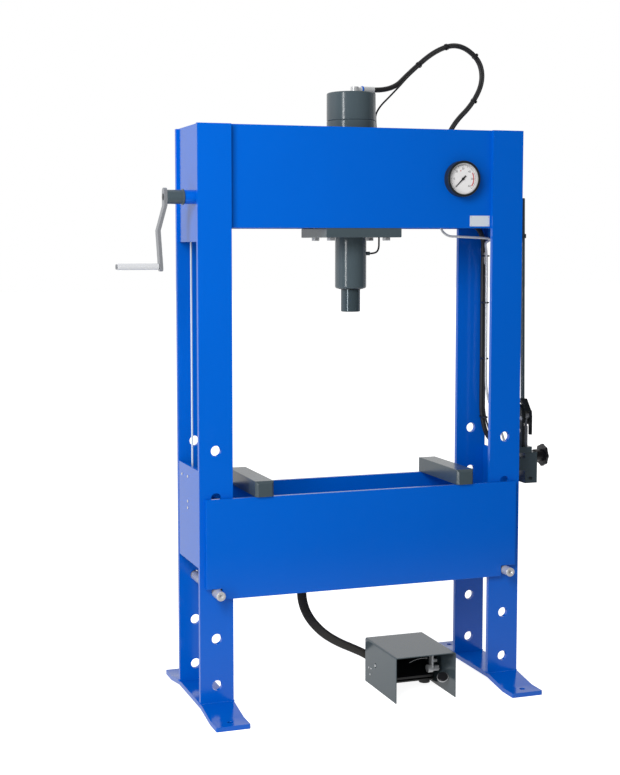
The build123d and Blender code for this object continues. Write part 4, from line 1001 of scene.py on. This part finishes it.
@dataclass
class Frame:
    """The welds, screws and the bare plate of the frame."""

    shop: Workshop
    fasteners: Fasteners
    bead: float = 3.4 * MM
    step: float = 4.6 * MM
    screw_places: tuple[tuple[float, float], ...] = (
        (0.0732, 0.7374),
        (0.0043, 0.7395),
        (0.0045, 0.6588),
        (0.0047, 0.6376),
    )
    label_low: tuple[float, float] = (0.374, 1.539)
    label_high: tuple[float, float] = (0.446, 1.574)
    rivet_edge: float = 0.004
    leg_thickness: float = 0.015

    def bead_line(self, start: Point, end: Point) -> list[Matrix]:
        """Lay ripples along a straight seam.

        Args:
            start: Where the seam starts.
            end: Where it ends.

        Returns:
            The place of each ripple.
        """
        a, b = Vector(start), Vector(end)
        count = max(2, round((b - a).length / self.step))
        turn = (b - a).to_track_quat("X", "Z").to_matrix().to_4x4()
        return [Matrix.Translation(a.lerp(b, (i + 0.5) / count)) @ turn for i in range(count)]

    def foot_welds(self) -> None:
        """Weld the legs to their feet."""
        places: list[Matrix] = []
        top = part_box("feet")[1][2]
        for node in ("legs_left", "legs_right"):
            low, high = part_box(node)
            for sy in (-1, 1):
                outer, inner = sy * high[1], sy * (high[1] - self.leg_thickness)
                places += self.bead_line((low[0], outer, top), (high[0], outer, top))
                places += self.bead_line((low[0], inner, top), (low[0], outer, top))
                places += self.bead_line((high[0], inner, top), (high[0], outer, top))
        drop = self.fasteners.weld_drop(self.bead)
        self.shop.spread(drop, "foot_welds", places, Body.FRAME, Look.BLUE)

    def brace_screws(self) -> None:
        """Set the small screws of the left brace plate."""
        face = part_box("column_braces")[0][0]
        places = [facing((face, y, z), (-1, 0, 0)) for y, z in self.screw_places]
        screw = self.fasteners.pan_screw(4.5 * MM)
        self.shop.spread(screw, "brace_screws", places, Body.FRAME, Look.ZINC)

    def bare_plate(self) -> None:
        """Rivet the bare plate to the head."""
        shop = self.shop
        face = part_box("head_plate_front")[0][1]
        (left, low), (right, high) = self.label_low, self.label_high
        plate = shop.slab("bare_plate", (left, face - 0.9 * MM, low), (right, face, high))
        shop.inset(plate, lambda m, n: n.y < -SQUARE_ON, 2.4 * MM, -0.25 * MM)
        shop.eased(plate, 0.3 * MM, 1)
        shop.finish(plate, Body.FRAME, Look.LABEL)
        edge = self.rivet_edge
        spots = [(x, z) for x in (left + edge, right - edge) for z in (low + edge, high - edge)]
        places = [facing((x, face - 0.6 * MM, z), (0, -1, 0)) for x, z in spots]
        shop.spread(self.fasteners.pan_screw(1.7 * MM), "plate_rivets", places, Body.FRAME, Look.ZINC)

    def build(self) -> None:
        """Make every small part of the frame."""
        self.foot_welds()
        self.brace_screws()
        self.bare_plate()


@dataclass
class Gauge:
    """The marks of the dial and the clear lens."""

    shop: Workshop
    centre: tuple[float, float] = (0.339, 1.693)
    first_angle: float = 225.0
    sweep: float = 270.0
    numbers: tuple[int, ...] = (0, 10, 20, 30, 40, 50, 60)

    def __post_init__(self) -> None:
        """Find the dial's face."""
        self.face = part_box("gauge_dial")[0][1]

    def spot(self, share: float, radius: float, rise: float = 0.0) -> Matrix:
        """Place a mark on the dial, with its +Y pointing outwards along the radius.

        Args:
            share: How far along the scale it is, from 0 to 1.
            radius: How far it is from the middle.
            rise: How far it stands in front of the dial.

        Returns:
            The placement.
        """
        angle = math.radians(self.first_angle - self.sweep * share)
        x = self.centre[0] + radius * math.cos(angle)
        z = self.centre[1] + radius * math.sin(angle)
        stand = Matrix.Rotation(math.radians(90), 4, "X")
        turn = Matrix.Rotation(angle - math.pi / 2, 4, "Z")
        return Matrix.Translation((x, self.face - rise, z)) @ stand @ turn

    def ticks(self) -> None:
        """Print the scale."""
        shop = self.shop
        long_ticks = [self.spot(i / 12, 42.5 * MM) for i in range(13)]
        short_ticks = [self.spot(i / 60, 44.2 * MM) for i in range(61) if i % 5]
        made = []
        for wide, tall, places in ((0.45 * MM, 3 * MM, long_ticks), (0.25 * MM, 1.5 * MM, short_ticks)):
            tick = shop.slab("tick", (-wide, -tall, 0), (wide, tall, 0.25 * MM))
            shop.inset(tick, upper, 0.1 * MM, 0.0)
            made.append(shop.copies(tick, "ticks", places))
        shop.finish(shop.joined("dial_scale", made), Body.FRAME, Look.INK)

    def arc(self, name: str, look: Look, start: float, end: float, radius: float, width: float) -> None:
        """Print a flat band along the scale.

        Args:
            name: The name of the piece.
            look: Its ink.
            start: Where on the scale it starts.
            end: Where it ends.
            radius: The middle radius of the band.
            width: How wide it is.
        """
        shop = self.shop
        band = shop.slab(name, (-0.1 * MM, -width / 2, 0), (0.1 * MM, width / 2, 0.2 * MM))
        band.data.transform(self.spot(start, radius))
        middle = Vector((self.centre[0], self.face, self.centre[1]))
        here, ahead = (self.spot(share, radius).to_translation() for share in (start, start + 0.001))
        along = (ahead - here).normalized()
        shop.pick(band, lambda m, n: n.dot(along) > SQUARE_ON)
        bpy.ops.mesh.spin(
            steps=36,
            angle=-math.radians(self.sweep * (end - start)),
            center=middle,
            axis=(0, 1, 0),
            use_normal_flip=False,
        )
        bpy.ops.mesh.select_all(action="SELECT")
        bpy.ops.mesh.remove_doubles(threshold=1e-6)
        bpy.ops.mesh.normals_make_consistent(inside=False)
        shop.done()
        shop.finish(band, Body.FRAME, look)

    def figures(self) -> None:
        """Print the numbers of the scale."""
        shop = self.shop
        made = []
        for i, number in enumerate(self.numbers):
            bpy.ops.object.select_all(action="DESELECT")
            bpy.ops.object.text_add()
            words = bpy.context.active_object
            words.data.body = str(number)
            words.data.size = 9.5 * MM
            words.data.align_x = "CENTER"
            words.data.align_y = "CENTER"
            words.data.extrude = 0.1 * MM
            bpy.ops.object.convert(target="MESH")
            figure = bpy.context.active_object
            place = self.spot(i / (len(self.numbers) - 1), 33 * MM).to_translation()
            stand = Matrix.Rotation(math.radians(90), 4, "X")
            figure.data.transform(Matrix.Translation(place) @ stand)
            made.append(figure)
        piece = shop.joined("dial_figures", made)
        shop.finish(piece, Body.FRAME, Look.INK)

    def cap(self) -> None:
        """Cap the needle's spindle."""
        shop = self.shop
        hub = shop.round_bar("needle_cap", 3.6 * MM, 1.6 * MM, 28)
        shop.inset(hub, upper, 0.8 * MM, 0.6 * MM)
        shop.eased(hub, 0.3 * MM)
        place = (self.centre[0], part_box("gauge_needle")[0][1] + 0.2 * MM, self.centre[1])
        shop.spread(hub, "needle_cap", [facing(place, (0, -1, 0))], Body.NEEDLE, Look.INK)

    def lens(self) -> None:
        """Make the lens clear."""
        material = bpy.data.materials.new("clear_lens")
        graph = Graph(material)
        gloss = graph.nodes["Principled BSDF"]
        graph.set(gloss, {"Roughness": 0.04, "Base Color": (0.9, 0.9, 0.9, 1.0)})
        clear = graph.add("ShaderNodeBsdfTransparent")
        edge = graph.add("ShaderNodeLayerWeight", {"Blend": 0.08})
        mix = graph.add("ShaderNodeMixShader")
        graph.join(edge, "Fresnel", mix, "Fac")
        graph.join(clear, "BSDF", mix, 1)
        graph.join(gloss, "BSDF", mix, 2)
        graph.join(mix, "Shader", graph.nodes["Material Output"], "Surface")
        solid = self.shop.frame["nodes"]["gauge_lens"]
        solid.data.materials.clear()
        solid.data.materials.append(material)

    def build(self) -> None:
        """Make every part of the gauge."""
        self.ticks()
        self.arc("dial_line", Look.INK, 0.0, 1.0, 45.6 * MM, 0.5 * MM)
        self.arc("dial_red", Look.RED, 0.72, 0.97, 39 * MM, 3.4 * MM)
        self.arc("dial_red_mark", Look.RED, 0.42, 0.45, 27 * MM, 3 * MM)
        self.figures()
        self.cap()
        self.lens()


@dataclass
class Pump:
    """The bolts of the pump and the crank."""

    shop: Workshop
    fasteners: Fasteners
    bolt_places: tuple[tuple[float, float], ...] = ((-0.019, 0.881), (-0.010, 0.837), (0.045, 0.812))
    plug_place: Point = (0.657, -0.035, 0.673)
    arm_end: tuple[float, float] = (-0.088, 1.628)

    def build(self) -> None:
        """Set the bracket bolts, the block's plug and the crank's washer."""
        shop = self.shop
        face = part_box("pump_bracket")[0][0]
        places = [facing((face, y, z), (-1, 0, 0)) for y, z in self.bolt_places]
        shop.spread(self.fasteners.hex_bolt(6.0 * MM), "bracket_bolts", places, Body.FRAME, Look.ZINC)
        place = facing(self.plug_place, (0, -1, 0))
        shop.spread(self.fasteners.pan_screw(5.0 * MM), "pump_plugs", [place], Body.FRAME, Look.DARK)
        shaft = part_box("crank_shaft")[0]
        ring = shop.round_bar("crank_washer", 9.5 * MM, 0.8 * MM, 32)
        shop.inset(ring, upper, 3.0 * MM, 0.0)
        shop.pull(ring, upper, (0, 0, 0.8 * MM))
        shop.eased(ring, 0.2 * MM)
        place = facing((shaft[0], *self.arm_end), (-1, 0, 0))
        shop.spread(ring, "crank_washer", [place], Body.CRANK, Look.DARK)


@dataclass
class Pedal:
    """The screws, springs and the pad of the foot pedal."""

    shop: Workshop
    fasteners: Fasteners
    wall_screws: tuple[tuple[float, float, float], ...] = (
        (-0.016, 0.056, 3.2),
        (-0.034, 0.057, 3.2),
        (-0.071, 0.078, 4.6),
        (-0.026, 0.035, 3.2),
    )
    spring_points: tuple[Point, ...] = ((157, -140, 99), (176, -140, 107), (200, -140, 110), (224, -138, 108))
    spring_wire: float = 1.6 * MM
    stop_place: Point = (0.256, -0.188, 0.054)
    stop_facing: Point = (-0.35, -0.5, 0.79)

    def screws(self) -> None:
        """Set the screws of the guard's left wall."""
        shop = self.shop
        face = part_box("pedal_guard")[0][0]
        made = []
        for y, z, radius in self.wall_screws:
            head = self.fasteners.pan_screw(radius * MM)
            made.append(shop.copies(head, "guard_screw", [facing((face, y, z), (-1, 0, 0))]))
        shop.finish(shop.joined("guard_screws", made), Body.FRAME, Look.ZINC)

    def springs(self) -> None:
        """Bend the thin wire spring above the treadle."""
        wire = Route("pedal_spring", self.spring_points, self.spring_wire)
        self.shop.finish(wire.tube(), Body.FRAME, Look.ZINC)

    def pad(self) -> None:
        """Make the round stop beside the treadle, a black pad in a bright cup."""
        shop = self.shop
        pad = shop.round_bar("stop_pad", 17.5 * MM, 5 * MM, 36)
        shop.inset(pad, upper, 2.5 * MM, 1.4 * MM)
        shop.inset(pad, upper, 5 * MM, -0.8 * MM)
        shop.eased(pad, 0.5 * MM)
        place = facing(self.stop_place, self.stop_facing)
        shop.spread(pad, "stop_pad", [place], Body.FRAME, Look.BLACK)
        cup = shop.round_bar("stop_cup", 19 * MM, 3.4 * MM, 36)
        shop.inset(cup, upper, 1.4 * MM, 0.0)
        shop.pull(cup, lambda m, n: n.z > SQUARE_ON and m.length < 0.01, (0, 0, -1.5 * MM))
        shop.eased(cup, 0.3 * MM)
        back = place @ Matrix.Translation((0, 0, -1 * MM))
        shop.spread(cup, "stop_cup", [back], Body.FRAME, Look.ZINC)

    def build(self) -> None:
        """Make every small part of the pedal."""
        self.screws()
        self.springs()
        self.pad()


# ------------------------------------------------------------------ studio
@dataclass
class Studio:
    """The pale floor, the soft lamps and the camera."""

    eye: Point = (-1.72249, -4.25516, 1.47636)
    turn: Point = (85.148, 0.156, -18.191)
    focal: float = 1386.92
    picture: tuple[int, int] = (620, 775)
    middle: tuple[float, float] = (257.11, 363.78)
    ambient: float = 0.42
    sky_rise: tuple[float, float] = (-0.35, 0.3)
    sky_gloss: float = 0.85
    floor_glow: float = 0.9
    floor_rise: tuple[float, float] = (-2.2, 0.3)
    floor_gloss: float = 0.9
    key_place: Point = (-2.2, -2.4, 3.0)
    strip_place: Point = (-3.56, -2.23, 1.3)

    def floor(self) -> None:
        """Lay a white floor that keeps a soft shadow and is bright in gloss only behind the press."""
        bpy.ops.object.select_all(action="DESELECT")
        bpy.ops.mesh.primitive_plane_add(size=80.0, location=(0, 0, 0))
        floor = bpy.context.active_object
        floor.name = "studio_floor"
        material = bpy.data.materials.new("studio_white")
        graph = Graph(material)
        material.cycles.emission_sampling = "NONE"
        shader = graph.nodes["Principled BSDF"]
        graph.set(shader, {"Base Color": (0.8, 0.8, 0.8, 1.0), "Roughness": 0.9, "Specular IOR Level": 0.0})
        graph.set(shader, {"Emission Color": (1.0, 1.0, 1.0, 1.0)})
        path = graph.add("ShaderNodeLightPath")
        glow = graph.add("ShaderNodeMath", {1: self.floor_glow}, operation="MULTIPLY")
        graph.join(path, "Is Camera Ray", glow, 0)
        graph.join(glow, "Value", shader, "Emission Strength")
        behind = graph.rise("Object", self.floor_rise, self.floor_gloss)
        mirror = graph.add("ShaderNodeEmission")
        choice = graph.add("ShaderNodeMixShader")
        graph.join(behind, "Result", mirror, "Strength")
        graph.join(path, "Is Glossy Ray", choice, "Fac")
        graph.join(shader, "BSDF", choice, 1)
        graph.join(mirror, "Emission", choice, 2)
        graph.join(choice, "Shader", graph.nodes["Material Output"], "Surface")
        floor.data.materials.append(material)

    def sky(self) -> None:
        """Set the surroundings: white to the eye, and in gloss white behind and dark in front."""
        world = bpy.data.worlds.new("studio_sky")
        bpy.context.scene.world = world
        graph = Graph(world)
        world.cycles.sampling_method = "NONE"
        back = graph.nodes["Background"]
        graph.set(back, {"Color": (1.0, 1.0, 1.0, 1.0)})
        path = graph.add("ShaderNodeLightPath")
        behind = graph.rise("Generated", self.sky_rise, self.sky_gloss)
        gloss = graph.add("ShaderNodeMix", {"A": self.ambient})
        graph.join(path, "Is Glossy Ray", gloss, "Factor")
        graph.join(behind, "Result", gloss, "B")
        seen = graph.add("ShaderNodeMath", operation="MAXIMUM")
        graph.join(path, "Is Camera Ray", seen, 0)
        graph.join(path, "Is Transmission Ray", seen, 1)
        level = graph.add("ShaderNodeMix", {"B": 1.0})
        graph.join(seen, "Value", level, "Factor")
        graph.join(gloss, "Result", level, "A")
        graph.join(level, "Result", back, "Strength")

    def lamp(
        self, name: str, place: Point, aim: Point, size: tuple[float, float], power: float, seen: bool = False
    ) -> None:
        """Hang one soft lamp.

        Args:
            name: The lamp's name.
            place: Where it hangs.
            aim: The point that it faces.
            size: Its width and height.
            power: Its power in watts.
            seen: Whether it shows in glossy surfaces.
        """
        data = bpy.data.lights.new(name, "AREA")
        data.shape = "RECTANGLE"
        data.size, data.size_y = size
        data.energy = power
        lamp = placed(name, data)
        lamp.location = place
        lamp.rotation_mode = "QUATERNION"
        lamp.rotation_quaternion = (Vector(aim) - Vector(place)).to_track_quat("-Z", "Y")
        lamp.visible_glossy = seen

    def camera(self) -> None:
        """Place the camera."""
        data = bpy.data.cameras.new("view")
        camera = placed("view", data)
        camera.location = self.eye
        camera.rotation_mode = "XYZ"
        camera.rotation_euler = [math.radians(a) for a in self.turn]
        data.sensor_fit = "AUTO"
        data.sensor_width = 36.0
        wide, high = self.picture
        data.lens = self.focal / high * data.sensor_width
        data.shift_x = (wide / 2 - self.middle[0]) / high
        data.shift_y = -(high / 2 - self.middle[1]) / high
        data.clip_start = 0.05
        data.clip_end = 100.0
        bpy.context.scene.camera = camera

    def build(self) -> None:
        """Set the whole studio."""
        bpy.context.scene.view_settings.view_transform = "Standard"
        self.floor()
        self.sky()
        self.lamp("key_lamp", self.key_place, (0, 0, 1.0), (1.6, 1.6), 85.0)
        self.lamp("strip_lamp", self.strip_place, (0, 0, 1.3), (0.5, 4.5), 90.0, seen=True)
        self.camera()


def main() -> None:
    """Build the dressed press and its studio."""
    logging.basicConfig(level=logging.INFO, format="%(name)s: %(message)s")
    shop = Workshop()
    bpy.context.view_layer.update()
    fasteners = Fasteners(shop)
    Studio().build()
    Hoses(shop, fasteners).build()
    Solids(shop).build()
    Bed(shop).build()
    Frame(shop, fasteners).build()
    Gauge(shop).build()
    Pump(shop, fasteners).build()
    Pedal(shop, fasteners).build()
    LOG.info("%d pieces", shop.count)


if __name__ == "__main__":
    main()
